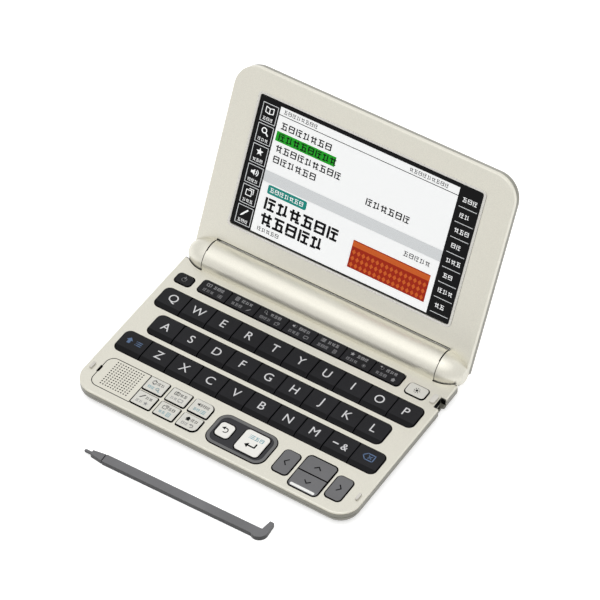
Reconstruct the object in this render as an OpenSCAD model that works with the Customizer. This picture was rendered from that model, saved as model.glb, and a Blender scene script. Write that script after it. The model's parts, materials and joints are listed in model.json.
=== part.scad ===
// Pocket electronic dictionary: a keyboard base with a battery barrel along its back, a lid with a
// wide touch display that turns on the barrel, and a loose stylus lying in front.
// X runs across, Y from the front edge towards the hinge, Z up from the table.

/* [Case] */
// Width of the base and of the lid
body_w = 148; // [147:0.5:156]
// Front edge of the base to the hinge axis
hinge_y = 96.3; // [96:0.1:104]
// Table to the top of the key deck
deck_z = 9; // [8.8:0.1:9.4]
// Table to the flat underside of the base
floor_z = 0.4; // [0.3:0.1:0.6]
// Table to the seam between the two halves of the base
seam_z = 5.6; // [5.4:0.1:5.8]
// Radius of the base's front corners, seen from above
corner_r = 10; // [8:0.5:12]
// Rounding of the edge round the key deck
deck_edge_r = 0.5; // [0.3:0.1:1]
// Rounding under the base, from its side to its flat underside
belly_r = 5.1; // [4.4:0.1:5.1]
// Thickness of the key deck and of the upper side wall
deck_t = 1.5; // [1.2:0.1:1.6]
// Thickness of the bottom plate
floor_t = 1.2; // [1:0.1:1.3]
// Width of the seams between two halves of a case
seam_w = 0.3; // [0.2:0.05:0.4]
// Depth of the seams
seam_depth = 0.6; // [0.4:0.1:0.8]
// Width of the groove round the upper side wall
rim_groove = 0.4; // [0.3:0.1:0.6]

/* [Barrel] */
// Outer radius of the battery barrel
barrel_r = 8.8; // [8.7:0.1:8.8]
// Wall of the barrel
barrel_wall = 1.15; // [1.1:0.05:1.2]
// Length of the barrel between the lid's two end caps
barrel_len = 126; // [124:1:128]
// Gap between the barrel and each end cap
cap_gap = 0.35; // [0.3:0.05:0.5]
// Radius of the flat end of each cap
cap_end_r = 3.5; // [3:0.1:4]
// Radius of the hinge pins
pin_r = 2; // [1.5:0.1:2.2]
// Running clearance round the hinge pins
pin_clear = 0.05; // [0.03:0.01:0.08]
// Length of a hinge pin inside its end cap
pin_len = 7; // [6:0.2:7.2]
// Radius of one AA cell
cell_r = 7.1; // [6.9:0.1:7.2]
// Length of one AA cell without its nub
cell_len = 49.4; // [49:0.1:49.6]
// Radius of a cell's nub
nub_r = 2.7; // [2.4:0.1:2.8]
// Height of a cell's nub
nub_h = 1; // [0.8:0.1:1.1]
// Half the length of the battery door
door_half = 53; // [52:0.5:53.5]
// Thickness of the battery door
door_t = 1; // [0.9:0.05:1]
// How far the battery door slides before it comes off
door_slide = 4; // [3:0.2:4]

/* [Lid] */
// Thickness of the lid
lid_t = 6; // [5.4:0.1:6.5]
// Space between the key deck and the closed lid
lid_gap = 1.2; // [1.2:0.1:1.4]
// Angle that the lid stands open
lid_open = 117; // [100:1:140]
// Radius of the lid's free corners
lid_corner_r = 12; // [10:0.5:16]
// Rounding round the lid's back
lid_back_r = 1.3; // [0.8:0.1:2.6]
// Rounding round the lid's inner face
bezel_edge_r = 0.5; // [0.3:0.1:0.9]
// Thickness of the bezel's face
bezel_t = 1.4; // [1.2:0.1:1.5]
// Depth of the bezel's side wall, up to the seam with the back
bezel_depth = 2.35; // [2.2:0.05:2.6]
// Thickness of the lid's back
lid_back_t = 1.2; // [1:0.1:1.3]
// Clear distance from the hinge axis to the lid's lower edge
lid_low = 9.5; // [9.3:0.05:9.8]
// Width of the display window
window_w = 118.2; // [112:0.2:120]
// Height of the display window
window_h = 65.8; // [60:0.2:68]
// Hinge axis to the lower edge of the display window
window_low = 19.4; // [18.5:0.1:21]
// Width of the raised lip round the window
window_lip_w = 1.3; // [0.8:0.1:1.6]
// Height of the raised lip round the window
window_lip_h = 0.2; // [0.1:0.05:0.25]

/* [Keys] */
// Distance between neighbouring letter keys
key_pitch = 14; // [13.6:0.1:14]
// Depth of a letter row's opening
row_d = 12.8; // [12:0.1:13.2]
// Distance between letter rows
row_pitch = 15.65; // [15.2:0.05:15.8]
// Front edge to the middle of the first letter row
first_row_y = 33; // [32.6:0.1:33.2]
// Radius of a row opening's corners
row_corner_r = 3; // [2:0.5:4]
// Gap between two keys of one row
key_gap = 0.6; // [0.4:0.05:0.7]
// Gap between a key and its opening
key_clear = 0.3; // [0.2:0.05:0.35]
// How far a key stands above the deck
key_rise = 0.7; // [0.5:0.05:0.7]
// How far a key can be pressed
key_travel = 0.7; // [0.5:0.05:0.75]
// Run of the slope along a letter key's front
key_slope = 2.2; // [1.5:0.1:2.6]
// Width of the lip that holds a key under the deck
key_lip = 0.7; // [0.5:0.05:0.8]
// Thickness of that lip
key_lip_t = 0.6; // [0.5:0.05:0.6]
// Distance between neighbouring keys of the function strip
function_pitch = 15.65; // [15:0.05:15.8]
// Depth of the function strip's opening
function_d = 8.4; // [7.6:0.1:8.4]
// Distance from the hinge axis to the middle of the function strip
function_back = 16.8; // [16.6:0.1:17.2]
// Distance between the shortcut keys across
shortcut_pitch_x = 12.3; // [12:0.1:12.4]
// Distance between the two rows of shortcut keys
shortcut_pitch_y = 9.4; // [9.2:0.1:9.6]
// Front edge to the middle of the front row of shortcut keys
shortcut_y = 8.5; // [8.4:0.1:8.8]
// Width of a shortcut key's opening
shortcut_w = 10.6; // [10:0.1:10.8]
// Depth of a shortcut key's opening
shortcut_d = 8.3; // [8:0.1:8.4]
// Width of the island that carries the two white keys
island_w = 31; // [30:0.5:32]
// Depth of the island
island_d = 18; // [17:0.5:18]
// How far the island stands above the deck
island_rise = 0.3; // [0.1:0.05:0.3]
// Width of the groove across the up and down rocker
rocker_groove = 0.7; // [0.4:0.1:0.9]

/* [Stylus] */
// Length of the stylus
stylus_len = 95.4; // [90:0.2:98]
// Width of the stylus
stylus_w = 4.4; // [4:0.1:4.6]
// Thickness of the stylus
stylus_t = 2.6; // [2.2:0.1:2.7]
// Length of the thin tip
stylus_tip_len = 4; // [3:0.2:6]
// Radius of the thin tip
stylus_tip_r = 0.8; // [0.6:0.05:1]
// Length of the collar behind the tip
stylus_collar_len = 6.2; // [4:0.2:8]
// Angle that the stylus lies to the front edge
stylus_turn = 1.4; // [0:0.1:4]
// Where the stylus's tip lies, across
stylus_x = -49.5; // [-54:0.1:-46]
// How far in front of the base the stylus's tip lies
stylus_front = 24.1; // [20:0.1:30]
// Space left round the stylus in its bay
bay_clear = 0.3; // [0.2:0.05:0.35]

/* [Inside] */
// Thickness of the circuit board
board_t = 1; // [0.8:0.1:1]
// Table to the underside of the circuit board
board_z = 3.2; // [3:0.1:3.2]
// Thickness of the rubber key mat
mat_t = 0.7; // [0.6:0.05:0.7]
// Radius of a rubber dome
dome_r = 2; // [1.6:0.1:2]
// Radius of the loudspeaker
speaker_r = 7.5; // [6.5:0.1:7.6]
// Holes of the loudspeaker grille along each side
grille_n = 11; // [8:1:11]
// Distance between the grille's holes
grille_pitch = 1.4; // [1.3:0.05:1.4]
// Radius of one hole of the grille
grille_r = 0.45; // [0.35:0.05:0.5]
// Radius of a screw's head
screw_head_r = 1.7; // [1.5:0.1:1.8]
// Radius of a screw's shank
screw_r = 0.9; // [0.8:0.05:1]
// Radius of a rubber foot
foot_r = 2.4; // [2:0.1:2.4]

/* [Hidden] */
$fn = 64;
cut = 1;
thin_gap = 0.1;
rest_gap = 0.3;

letters_q = ["q", "w", "e", "r", "t", "y", "u", "i", "o", "p"];
letters_a = ["a", "s", "d", "f", "g", "h", "j", "k", "l"];
letters_z = ["shift", "z", "x", "c", "v", "b", "n", "m", "dash", "delete"];
letter_rows = [letters_z, letters_a, letters_q];
shortcut_columns = 3;
shortcut_rows = 2;
shortcut_n = shortcut_columns * shortcut_rows;
function_n = 7;

// Case: the barrel touches the underside, and the base ends behind the front of the end caps.
hinge_z = floor_z + barrel_r;
barrel_in_r = barrel_r - barrel_wall;
cap_x = barrel_len / 2 + cap_gap;
cap_len = body_w / 2 - cap_x;
cap_drop = barrel_r - cap_end_r;
cap_arc_r = (cap_len * cap_len + cap_drop * cap_drop) / (2 * cap_drop);
case_rear = hinge_y - 5.9;
slab_d = case_rear + 2 * corner_r;
deck_under = deck_z - deck_t;
cavity_z = floor_z + floor_t;
cavity_inset = 3.2;
rim_groove_drop = 0.3;
rear_block_y = hinge_y - barrel_r - 4.5;
cell_pair = 2 * (cell_len + nub_h) + thin_gap;
contact_room = 3.05;
chamber_half = cell_pair / 2 + contact_room;
bore_half = barrel_len / 2 + cut;
pin_wall = 2.35;
pin_inner = chamber_half + pin_wall;
pin_end_gap = 0.5;
door_strip = barrel_r - 1.2;
door_turn = 12;
door_gap = 0.2;
door_gap_turn = 1.5;

// Lid, measured from the hinge axis with the lid closed: y runs back, z away from the keys.
lid_len = hinge_y;
lid_in = deck_z + lid_gap - hinge_z;
lid_out = lid_in + lid_t;
lid_seam = lid_in + bezel_depth;
lid_wall = 1.5;
lid_slab = lid_len + 2 * lid_corner_r;
window_mid = window_low + window_h / 2;
window_corner_r = 1.2;
glass_clear = 0.15;
glass_sink = 0.35;
panel_side = 3;
panel_edge = 2.8;
panel_w = window_w + 2 * panel_side;
panel_low = window_low - panel_edge;
panel_high = window_low + window_h + panel_edge;

// Keys
key_bottom = deck_under - rest_gap - key_lip_t;
key_top = deck_z + key_rise;
mat_top = key_bottom - key_travel - thin_gap;
function_y = hinge_y - function_back;
function_x = -3.05;
function_w = function_n * function_pitch;
small_key_back = 18.4;
power_at = [-65.75, hinge_y - small_key_back];
power_size = [8.9, 6.3];
backlight_at = [60.4, hinge_y - small_key_back];
backlight_size = [10.4, 6.9];
small_corner_r = 1.9;
shortcut_x = -39.5;
shortcut_corner_r = 0.8;
shortcut_end_r = 3;
island_at = [9.9, 13.1];
island_corner_r = 5;
island_tab = 0.4;
island_tab_w = 2.4;
back_at = [0.9, 13.1];
back_size = [7.9, 8.7];
enter_at = [15.3, 13.3];
enter_size = [13.1, 13.3];
white_corner_r = 2.2;
arrow_y = 12.6;
arrow_size = [8.5, 13.7];
arrow_left_x = 33.9;
arrow_right_x = 61.6;
rocker_at = [47.85, 12.45];
rocker_size = [15.7, 19.7];
rocker_corner_r = 2.4;
rocker_rise = 0.6;
rocker_end_rise = 0.05;
rocker_half = rocker_size[1] / 2 - key_clear;
rocker_sag = rocker_rise - rocker_end_rise;
rocker_arc_r = (rocker_half * rocker_half + rocker_sag * rocker_sag) / (2 * rocker_sag);
rocker_pin_r = 0.4;
rocker_pivot_z = key_bottom + rocker_pin_r;

// Loudspeaker, microphone slot and board
speaker_at = [-55.3, 13.6];
grille_at = [-56.25, 13.2];
grille_size = [22.1, 17.8];
grille_corner_r = 4;
grille_plate_t = 0.8;
grille_ledge = 1.2;
speaker_room_r = speaker_r + 1;
speaker_frame_h = 2.2;
speaker_magnet_r = 4;
speaker_magnet_h = 1.3;
slot_at = [-67.3, 13.4];
board_clear = 5.6;
board_half = body_w / 2 - cavity_inset - board_clear;
board_front = 5.2;
board_rear = 73.2;
screw_head_h = 1.2;
screw_sink = 0.2;
screw_top = deck_under + 0.6;
post_r = 1.8;
boss_r = post_r + screw_head_r / 2;
boss_clear = 0.45;
screw_x = board_half + boss_clear + boss_r;
screw_back = 11.3;
screw_at = [[screw_x, 20.6], [screw_x, 48.6], [screw_x, hinge_y - screw_back]];
standoff_at = [[44, 14], [52, 62]];
standoff_r = 2;
foot_x = 57;
foot_clear = 0.8;
foot_back = door_strip + door_gap + foot_r + foot_clear;
foot_at = [[foot_x, 14], [foot_x, hinge_y - foot_back]];
foot_sink = 0.6;
front_pad_size = [1.4, 4];
front_pad_r = 0.6;
front_pad_at = [body_w / 2 - 2 * front_pad_size[0], 13.2];
side_pad_size = [2.8, 5.4];
side_pad_r = 1.3;
side_pad_in = 4.7;
side_pad_back = 18.2;

// Stylus: its tail is a hook that stands up from a round heel.
heel_r = 4.2;
heel_drop = 0.7;
tail_root_w = 3.5;
tail_tip_w = 2;
tail_lean = 0.5;
tail_rise = 7.5;
collar_front_w = 2.3;
collar_rear_w = 4;
collar_ring_w = 0.5;
collar_ring_depth = 0.3;

// Stylus bay, under the function strip with its mouth in the notch of the right side
bay_y = 77.5;
bay_half = stylus_w / 2 + bay_clear;
bay_wall = 1;
bay_roof_t = 0.5;
bay_top = cavity_z + stylus_t + bay_clear;
notch_depth = 2.7;
notch_half = 3.4;
bay_mouth_x = body_w / 2 - notch_depth;
bay_end_gap = 2;
bay_end_x = bay_mouth_x - stylus_len + tail_root_w - bay_end_gap;

// The origin lies on the table, in the middle of the space that the open set takes up.
front_most = -stylus_front + (stylus_tip_len + stylus_collar_len + collar_ring_w) * sin(stylus_turn)
    - stylus_w / 2 * cos(stylus_turn);
rear_most = hinge_y - (lid_len - lid_back_r) * cos(lid_open)
    + (lid_out - lid_back_r) * sin(lid_open) + lid_back_r;
origin_y = (front_most + rear_most) / 2;

// Colours
champagne = [0.85, 0.84, 0.8];
charcoal = [0.2, 0.2, 0.22];
grey_key = [0.5, 0.5, 0.53];
island_grey = [0.47, 0.46, 0.5];
off_white = [0.93, 0.93, 0.9];
steel = [0.7, 0.7, 0.72];
rubber_grey = [0.3, 0.3, 0.3];

module from_origin() {
    translate([0, -origin_y, 0]) children();
}

// The lid is drawn closed, about the hinge axis, and turned open.
module lid_place() {
    from_origin() translate([0, hinge_y, hinge_z]) rotate([-lid_open, 0, 0]) children();
}

module both_sides() {
    for (side = [-1, 1]) scale([side, 1, 1]) children();
}

// A rectangle with round corners about the middle
module rounded(size, r) {
    square([size[0] - 2 * r, size[1]], center = true);
    square([size[0], size[1] - 2 * r], center = true);
    for (x = [-1, 1]) for (y = [-1, 1])
        translate([x * (size[0] / 2 - r), y * (size[1] / 2 - r)]) circle(r);
}

module rounded_block(at, size, r, z0, z1) {
    translate([at[0], at[1], z0]) linear_extrude(z1 - z0) rounded(size, r);
}

// Cross-section of a plate whose upper edges are round
module soft_section(w, h, edge_r) {
    intersection() {
        translate([-w / 2, 0]) square([w, h]);
        union() {
            translate([-w / 2, -edge_r]) square([w, h]);
            translate([edge_r - w / 2, 0]) square([w - 2 * edge_r, h]);
            for (side = [-1, 1]) translate([side * (w / 2 - edge_r), h - edge_r]) circle(edge_r);
        }
    }
}

// A plate with round corners and a round upper edge, standing on z = 0
module soft_plate(w, d, h, plan_r, edge_r) {
    rotate([90, 0, 0]) linear_extrude(d - 2 * plan_r, center = true) soft_section(w, h, edge_r);
    rotate([90, 0, 90]) linear_extrude(w - 2 * plan_r, center = true) soft_section(d, h, edge_r);
    for (x = [-1, 1]) for (y = [-1, 1])
        translate([x * (w / 2 - plan_r), y * (d / 2 - plan_r), 0])
            rotate_extrude() intersection() {
                soft_section(2 * plan_r, h, edge_r);
                square([plan_r, h]);
            }
}

// A section drawn about the hinge axis, y to the right and z up, run along X
module along_barrel(x0, x1) {
    translate([x0, hinge_y, hinge_z]) rotate([90, 0, 90]) linear_extrude(x1 - x0) children();
}

// The right end cap about the origin, or the room that it turns in
module cap_shape(extra, reach) {
    translate([cap_x - extra, 0, 0]) rotate([0, 90, 0]) rotate_extrude() intersection() {
        square([barrel_r + extra, cap_len + reach + extra]);
        translate([barrel_r - cap_arc_r, 0]) circle(cap_arc_r + extra);
    }
}

module cap_room() {
    translate([0, hinge_y, hinge_z]) both_sides() cap_shape(cap_gap, 1);
}

// Outline of the case in plan, drawn in by an inset, from the front edge to behind the hinge
module case_outline(inset) {
    translate([0, slab_d / 2])
        rounded([body_w - 2 * inset, slab_d - 2 * inset], corner_r - inset);
}

module behind_case() {
    translate([-body_w, case_rear, -cut]) cube([2 * body_w, slab_d, hinge_y]);
}

module notch_room() {
    translate([bay_mouth_x, bay_y - notch_half, -cut]) cube([2 * notch_depth, 2 * notch_half, 2 * deck_z]);
}

// Openings of the key deck

module letter_row_room(row, inset = 0) {
    w = len(letter_rows[row]) * key_pitch;
    translate([0, first_row_y + row * row_pitch])
        rounded([w - 2 * inset, row_d - 2 * inset], row_corner_r - inset);
}

module function_room(inset = 0) {
    translate([function_x, function_y])
        rounded([function_w - 2 * inset, function_d - 2 * inset], small_corner_r - inset);
}

function shortcut_at(i) = [
    shortcut_x + (i % shortcut_columns) * shortcut_pitch_x,
    shortcut_y + (shortcut_rows - 1 - floor(i / shortcut_columns)) * shortcut_pitch_y];

// One shortcut opening: the block of six is rounded at its right corners
module shortcut_room(i, inset = 0) {
    block_w = shortcut_w + (shortcut_columns - 1) * shortcut_pitch_x;
    block_d = shortcut_d + (shortcut_rows - 1) * shortcut_pitch_y;
    block_mid = [shortcut_x - shortcut_end_r, shortcut_y - shortcut_d / 2 + block_d / 2];
    intersection() {
        translate(shortcut_at(i))
            rounded([shortcut_w - 2 * inset, shortcut_d - 2 * inset], shortcut_corner_r - inset);
        translate(block_mid + [(shortcut_columns - 1) * shortcut_pitch_x / 2, 0])
            rounded([block_w + 2 * shortcut_end_r - 2 * inset, block_d - 2 * inset], shortcut_end_r - inset);
    }
}

module island_room(inset = 0) {
    translate(island_at)
        rounded([island_w - 2 * inset, island_d - 2 * inset], island_corner_r - inset);
}

module small_room(at, size, r, inset = 0) {
    translate(at) rounded([size[0] - 2 * inset, size[1] - 2 * inset], r - inset);
}

module deck_openings() {
    for (row = [0 : len(letter_rows) - 1]) letter_row_room(row);
    function_room();
    for (i = [0 : shortcut_n - 1]) shortcut_room(i);
    island_room();
    small_room(power_at, power_size, small_corner_r);
    small_room(backlight_at, backlight_size, small_corner_r);
    small_room([arrow_left_x, arrow_y], arrow_size, white_corner_r);
    small_room([arrow_right_x, arrow_y], arrow_size, white_corner_r);
    small_room(rocker_at, rocker_size, rocker_corner_r);
}

// Outline of the loudspeaker's grille plate: only its left corners are wide
module grille_outline(inset) {
    size = [grille_size[0] - 2 * inset, grille_size[1] - 2 * inset];
    translate(grille_at) {
        rounded(size, grille_corner_r - inset);
        translate([0, -size[1] / 2]) square([size[0] / 2, size[1]]);
    }
}

module slot_room() {
    translate([slot_at[0], slot_at[1], deck_under - cut]) linear_extrude(deck_t + 2 * cut)
        square([1, 3.4], center = true);
}

module grille_seat() {
    translate([0, 0, deck_z - grille_plate_t]) linear_extrude(deck_z) grille_outline(0);
    translate([0, 0, deck_under - cut]) linear_extrude(deck_z) grille_outline(grille_ledge);
    slot_room();
}

module grille_holes() {
    span = (grille_n - 1) * grille_pitch;
    for (i = [0 : grille_n - 1]) for (j = [0 : grille_n - 1])
        translate([speaker_at[0] - span / 2 + i * grille_pitch,
                   speaker_at[1] - span / 2 + j * grille_pitch, deck_under - cut])
            cylinder(r = grille_r, h = deck_t + 2 * cut, $fn = 4);
}

// Base

module rim_groove_room() {
    z = deck_z - deck_edge_r - rim_groove - rim_groove_drop;
    translate([0, 0, z]) linear_extrude(rim_groove) difference() {
        case_outline(-cut);
        case_outline(rim_groove / 2);
    }
}

module seam_room() {
    translate([0, 0, seam_z - seam_w]) linear_extrude(seam_w + cut) difference() {
        case_outline(-cut);
        case_outline(seam_depth);
    }
}

module rear_corners() {
    both_sides() translate([cap_x, rear_block_y, 0]) cube([body_w, slab_d, deck_z]);
}

module deck_posts() {
    both_sides() for (at = screw_at)
        translate([at[0], at[1], seam_z]) cylinder(r = post_r, h = deck_under - seam_z + thin_gap);
}

// Walls round the notch, in the upper or the lower half of the case
module notch_wall(z0, z1) {
    translate([bay_mouth_x - deck_t, bay_y - notch_half - deck_t, z0])
        cube([2 * deck_t, 2 * (notch_half + deck_t), z1 - z0]);
}

module top_case_cavity() {
    difference() {
        translate([0, 0, seam_z - cut]) linear_extrude(deck_under - seam_z + cut) case_outline(deck_t);
        rear_corners();
    }
}

// Upper half of the barrel: behind the axis it ends at the axis, in front of it under the deck
module barrel_top() {
    along_barrel(-barrel_len / 2, barrel_len / 2) difference() {
        circle(barrel_r, $fn = 128);
        circle(barrel_in_r);
        translate([0, -2 * barrel_r]) square(2 * barrel_r);
        translate([-2 * barrel_r, deck_under - hinge_z - 2 * barrel_r]) square(2 * barrel_r);
    }
    both_sides() along_barrel(chamber_half, barrel_len / 2) difference() {
        circle(barrel_in_r + thin_gap);
        translate([-barrel_r, -2 * barrel_r]) square(2 * barrel_r);
    }
}

module pin_bores() {
    both_sides() along_barrel(pin_inner - rest_gap, bore_half) circle(pin_r + pin_clear);
}

module deck_shell() {
    difference() {
        translate([0, slab_d / 2, seam_z])
            soft_plate(body_w, slab_d, deck_z - seam_z, corner_r, deck_edge_r);
        top_case_cavity();
        behind_case();
        along_barrel(-cap_x, cap_x) circle(barrel_in_r);
    }
}

module top_case() {
    color(champagne) from_origin() difference() {
        union() {
            deck_shell();
            deck_posts();
            notch_wall(seam_z, deck_under + thin_gap);
            barrel_top();
        }
        pin_bores();
        cap_room();
        notch_room();
        rim_groove_room();
        translate([0, 0, deck_under - cut]) linear_extrude(deck_t + 2 * cut) deck_openings();
        grille_seat();
        both_sides() for (at = screw_at)
            translate([at[0], at[1], seam_z - cut])
                cylinder(r = screw_r + pin_clear, h = screw_top + thin_gap - seam_z + cut);
    }
}

module case_bowl() {
    translate([0, slab_d / 2, seam_z]) mirror([0, 0, 1])
        soft_plate(body_w, slab_d, seam_z - floor_z, corner_r, belly_r);
}

module bowl_cavity() {
    difference() {
        translate([0, 0, cavity_z]) linear_extrude(seam_z) case_outline(cavity_inset);
        rear_corners();
    }
}

module bay_block() {
    translate([bay_end_x - bay_wall, bay_y - bay_half - bay_wall, floor_z + thin_gap])
        cube([bay_mouth_x - bay_end_x + bay_wall, 2 * (bay_half + bay_wall),
              bay_top + bay_roof_t - floor_z - thin_gap]);
}

module bay_room() {
    translate([bay_end_x, bay_y - bay_half, cavity_z])
        cube([body_w, 2 * bay_half, bay_top - cavity_z]);
}

// Lower half of the barrel, with the flat underside running on beneath it
module trough() {
    front_top = deck_under - rest_gap - hinge_z;
    along_barrel(-barrel_len / 2, barrel_len / 2) {
        difference() {
            circle(barrel_r, $fn = 128);
            circle(barrel_in_r);
            translate([-2 * barrel_r, front_top]) square([2 * barrel_r, 4 * barrel_r]);
            translate([0, -thin_gap]) square(2 * barrel_r);
        }
        difference() {
            translate([-barrel_r, -barrel_r]) square([barrel_r, barrel_r]);
            translate([-barrel_r, floor_t - barrel_r]) square([barrel_r, barrel_r]);
        }
    }
    both_sides() along_barrel(chamber_half, barrel_len / 2) difference() {
        circle(barrel_in_r - glass_clear);
        translate([-barrel_r, -thin_gap]) square(2 * barrel_r);
    }
    both_sides() along_barrel(chamber_half, barrel_len / 2) difference() {
        circle(barrel_in_r + thin_gap);
        translate([-2 * barrel_r, front_top - barrel_wall]) square([4 * barrel_r, 4 * barrel_r]);
    }
}

// Section of the battery door: a flat strip that turns up round the back of the barrel.
// It is grown by a gap and by a turn for the opening that it fills.
module door_section(gap, turn) {
    translate([-door_strip - gap, -barrel_r - gap]) square([door_strip + gap, door_t + 2 * gap]);
    difference() {
        circle(barrel_r + gap, $fn = 128);
        circle(barrel_r - door_t - gap);
        translate([-2 * barrel_r, -2 * barrel_r]) square([2 * barrel_r, 4 * barrel_r]);
        rotate(turn - door_turn) square(2 * barrel_r);
        square(2 * barrel_r);
    }
}

module door_room() {
    along_barrel(-door_half - door_slide - thin_gap, door_half + thin_gap)
        door_section(door_gap, door_gap_turn);
    // the way out for the cells, above the door's flat strip
    translate([-door_half, hinge_y - cell_r - thin_gap, floor_z + door_t])
        cube([2 * door_half, cell_r + thin_gap, cell_r]);
}

module bottom_case() {
    color(champagne) from_origin() difference() {
        union() {
            difference() {
                case_bowl();
                bowl_cavity();
                seam_room();
                behind_case();
            }
            trough();
            bay_block();
            notch_wall(cavity_z - thin_gap, seam_z);
            both_sides() for (at = standoff_at)
                translate([at[0], at[1], floor_z + thin_gap])
                    cylinder(r = standoff_r, h = board_z - floor_z - thin_gap);
            both_sides() for (at = screw_at)
                translate([at[0], at[1], floor_z + thin_gap])
                    cylinder(r = boss_r, h = seam_z - floor_z - thin_gap);
        }
        cap_room();
        along_barrel(-chamber_half, chamber_half) circle(barrel_in_r);
        pin_bores();
        door_room();
        bay_room();
        notch_room();
        both_sides() for (at = screw_at) translate([at[0], at[1], 0]) {
            cylinder(r = screw_r + thin_gap, h = seam_z + cut);
            cylinder(r = screw_head_r + thin_gap, h = floor_z + screw_sink + screw_head_h + thin_gap);
        }
        both_sides() for (at = foot_at)
            translate([at[0], at[1], 0]) cylinder(r = foot_r + thin_gap, h = floor_z + foot_sink);
    }
}

module battery_door() {
    color(champagne) from_origin() along_barrel(-door_half, door_half) door_section(0, 0);
}

module battery_cells() {
    color("slategray") from_origin() for (i = [0, 1])
        translate([-cell_pair / 2 + i * (cell_len + nub_h + thin_gap), hinge_y, hinge_z]) rotate([0, 90, 0]) {
            cylinder(r = cell_r, h = cell_len);
            cylinder(r = nub_r, h = cell_len + nub_h);
        }
}

module battery_contacts() {
    plate_t = 0.5;
    plate_w = 9;
    room = contact_room - thin_gap;
    color(steel) from_origin() both_sides() {
        translate([chamber_half - plate_t - thin_gap / 2, hinge_y - plate_w / 2, hinge_z - plate_w / 2])
            cube([plate_t, plate_w, plate_w]);
        translate([chamber_half - room, hinge_y, hinge_z]) rotate([0, 90, 0])
            cylinder(r1 = 2, r2 = 3.4, h = room - plate_t);
    }
}

// Room for the loudspeaker in the corner of the board and of the key mat
module speaker_room() {
    translate([speaker_at[0], speaker_at[1], 0]) cylinder(r = speaker_room_r, h = deck_z);
    translate([-body_w, -cut, 0]) cube([body_w + speaker_at[0], speaker_at[1] + cut, deck_z]);
}

module main_board() {
    chips = [[-20, 40, 14, 14], [8, 44, 10, 16], [32, 30, 12, 12], [-42, 56, 8, 12]];
    chip_h = 1;
    color("darkgreen") from_origin() union() {
        difference() {
            translate([-board_half, board_front, board_z])
                cube([2 * board_half, board_rear - board_front, board_t]);
            speaker_room();
        }
        for (c = chips)
            translate([c[0], c[1], board_z - chip_h]) cube([c[2], c[3], chip_h + thin_gap]);
    }
}

module domes(points) {
    base_z = board_z + board_t;
    for (p = points) translate([p[0], p[1], base_z]) cylinder(r = dome_r, h = mat_top - base_z);
}

module key_mat() {
    base_z = board_z + board_t;
    row_points = [for (row = [0 : len(letter_rows) - 1]) for (i = [0 : len(letter_rows[row]) - 1])
        [(i - (len(letter_rows[row]) - 1) / 2) * key_pitch, first_row_y + row * row_pitch]];
    other_points = concat([for (i = [0 : shortcut_n - 1]) shortcut_at(i)],
        [back_at, enter_at, [arrow_left_x, arrow_y], [arrow_right_x, arrow_y]],
        [for (side = [-1, 1]) rocker_at + [0, side * rocker_half * 0.6]]);
    color("dimgray") from_origin() union() {
        difference() {
            translate([-board_half, board_front, base_z])
                cube([2 * board_half, board_rear - board_front, mat_t]);
            speaker_room();
        }
        domes(row_points);
        domes(other_points);
        // the strip under the function keys lies on the roof of the stylus bay
        translate([-board_half, board_rear - cut, bay_top + bay_roof_t])
            cube([2 * board_half, rear_block_y - board_rear + cut, mat_top - bay_top - bay_roof_t]);
        translate([-board_half, board_rear - cut, base_z]) cube([2 * board_half, cut, mat_top - base_z]);
    }
}

module speaker() {
    top = deck_under - rest_gap;
    color("gray") from_origin() translate([speaker_at[0], speaker_at[1], 0]) {
        translate([0, 0, top - speaker_frame_h]) cylinder(r = speaker_r, h = speaker_frame_h);
        translate([0, 0, top - speaker_frame_h - speaker_magnet_h])
            cylinder(r = speaker_magnet_r, h = speaker_magnet_h + thin_gap);
    }
}

module speaker_grille() {
    color(champagne) from_origin() difference() {
        translate([0, 0, deck_z - grille_plate_t]) linear_extrude(grille_plate_t) grille_outline(thin_gap);
        grille_holes();
        slot_room();
    }
}

module screws() {
    head_z = floor_z + screw_sink;
    color(steel) from_origin() both_sides() for (at = screw_at) translate([at[0], at[1], head_z]) {
        cylinder(r = screw_head_r, h = screw_head_h);
        cylinder(r = screw_r, h = screw_top - head_z);
    }
}

// Four feet under the base, and the small pads on the deck that the closed lid rests against
module rubber_pads() {
    pad_h = lid_gap - rest_gap;
    color(rubber_grey) from_origin() {
        both_sides() for (at = foot_at)
            translate([at[0], at[1], 0]) cylinder(r = foot_r, h = floor_z + foot_sink - thin_gap / 2);
        both_sides() rounded_block(front_pad_at, front_pad_size, front_pad_r, deck_z, deck_z + pad_h);
        rounded_block([body_w / 2 - side_pad_in, hinge_y - side_pad_back], side_pad_size, side_pad_r,
                      deck_z, deck_z + pad_h);
    }
}

module key_island() {
    color(island_grey) from_origin() difference() {
        union() {
            translate([0, 0, deck_under]) linear_extrude(deck_z + island_rise - deck_under) island_room(thin_gap);
            translate([0, 0, deck_under - rest_gap]) linear_extrude(rest_gap) difference() {
                island_room(-island_tab);
                translate(island_at)
                    square([island_w + 2 * island_tab - 2 * island_tab_w, 2 * island_d], center = true);
            }
        }
        translate([0, 0, -cut]) linear_extrude(3 * deck_z) {
            small_room(back_at, back_size, white_corner_r);
            small_room(enter_at, enter_size, white_corner_r);
        }
    }
}

// Keys

// A letter key in section, seen along X, with its lip and its sloped front
module letter_section() {
    half = row_d / 2 - key_clear;
    lip = row_d / 2 + key_lip;
    back_chamfer = 0.35;
    polygon([
        [-lip, key_bottom], [lip, key_bottom], [lip, key_bottom + key_lip_t], [half, key_bottom + key_lip_t],
        [half, key_top - back_chamfer], [half - back_chamfer, key_top], [key_slope - half, key_top],
        [-half, deck_z - thin_gap], [-half, key_bottom + key_lip_t], [-lip, key_bottom + key_lip_t]]);
}

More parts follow.
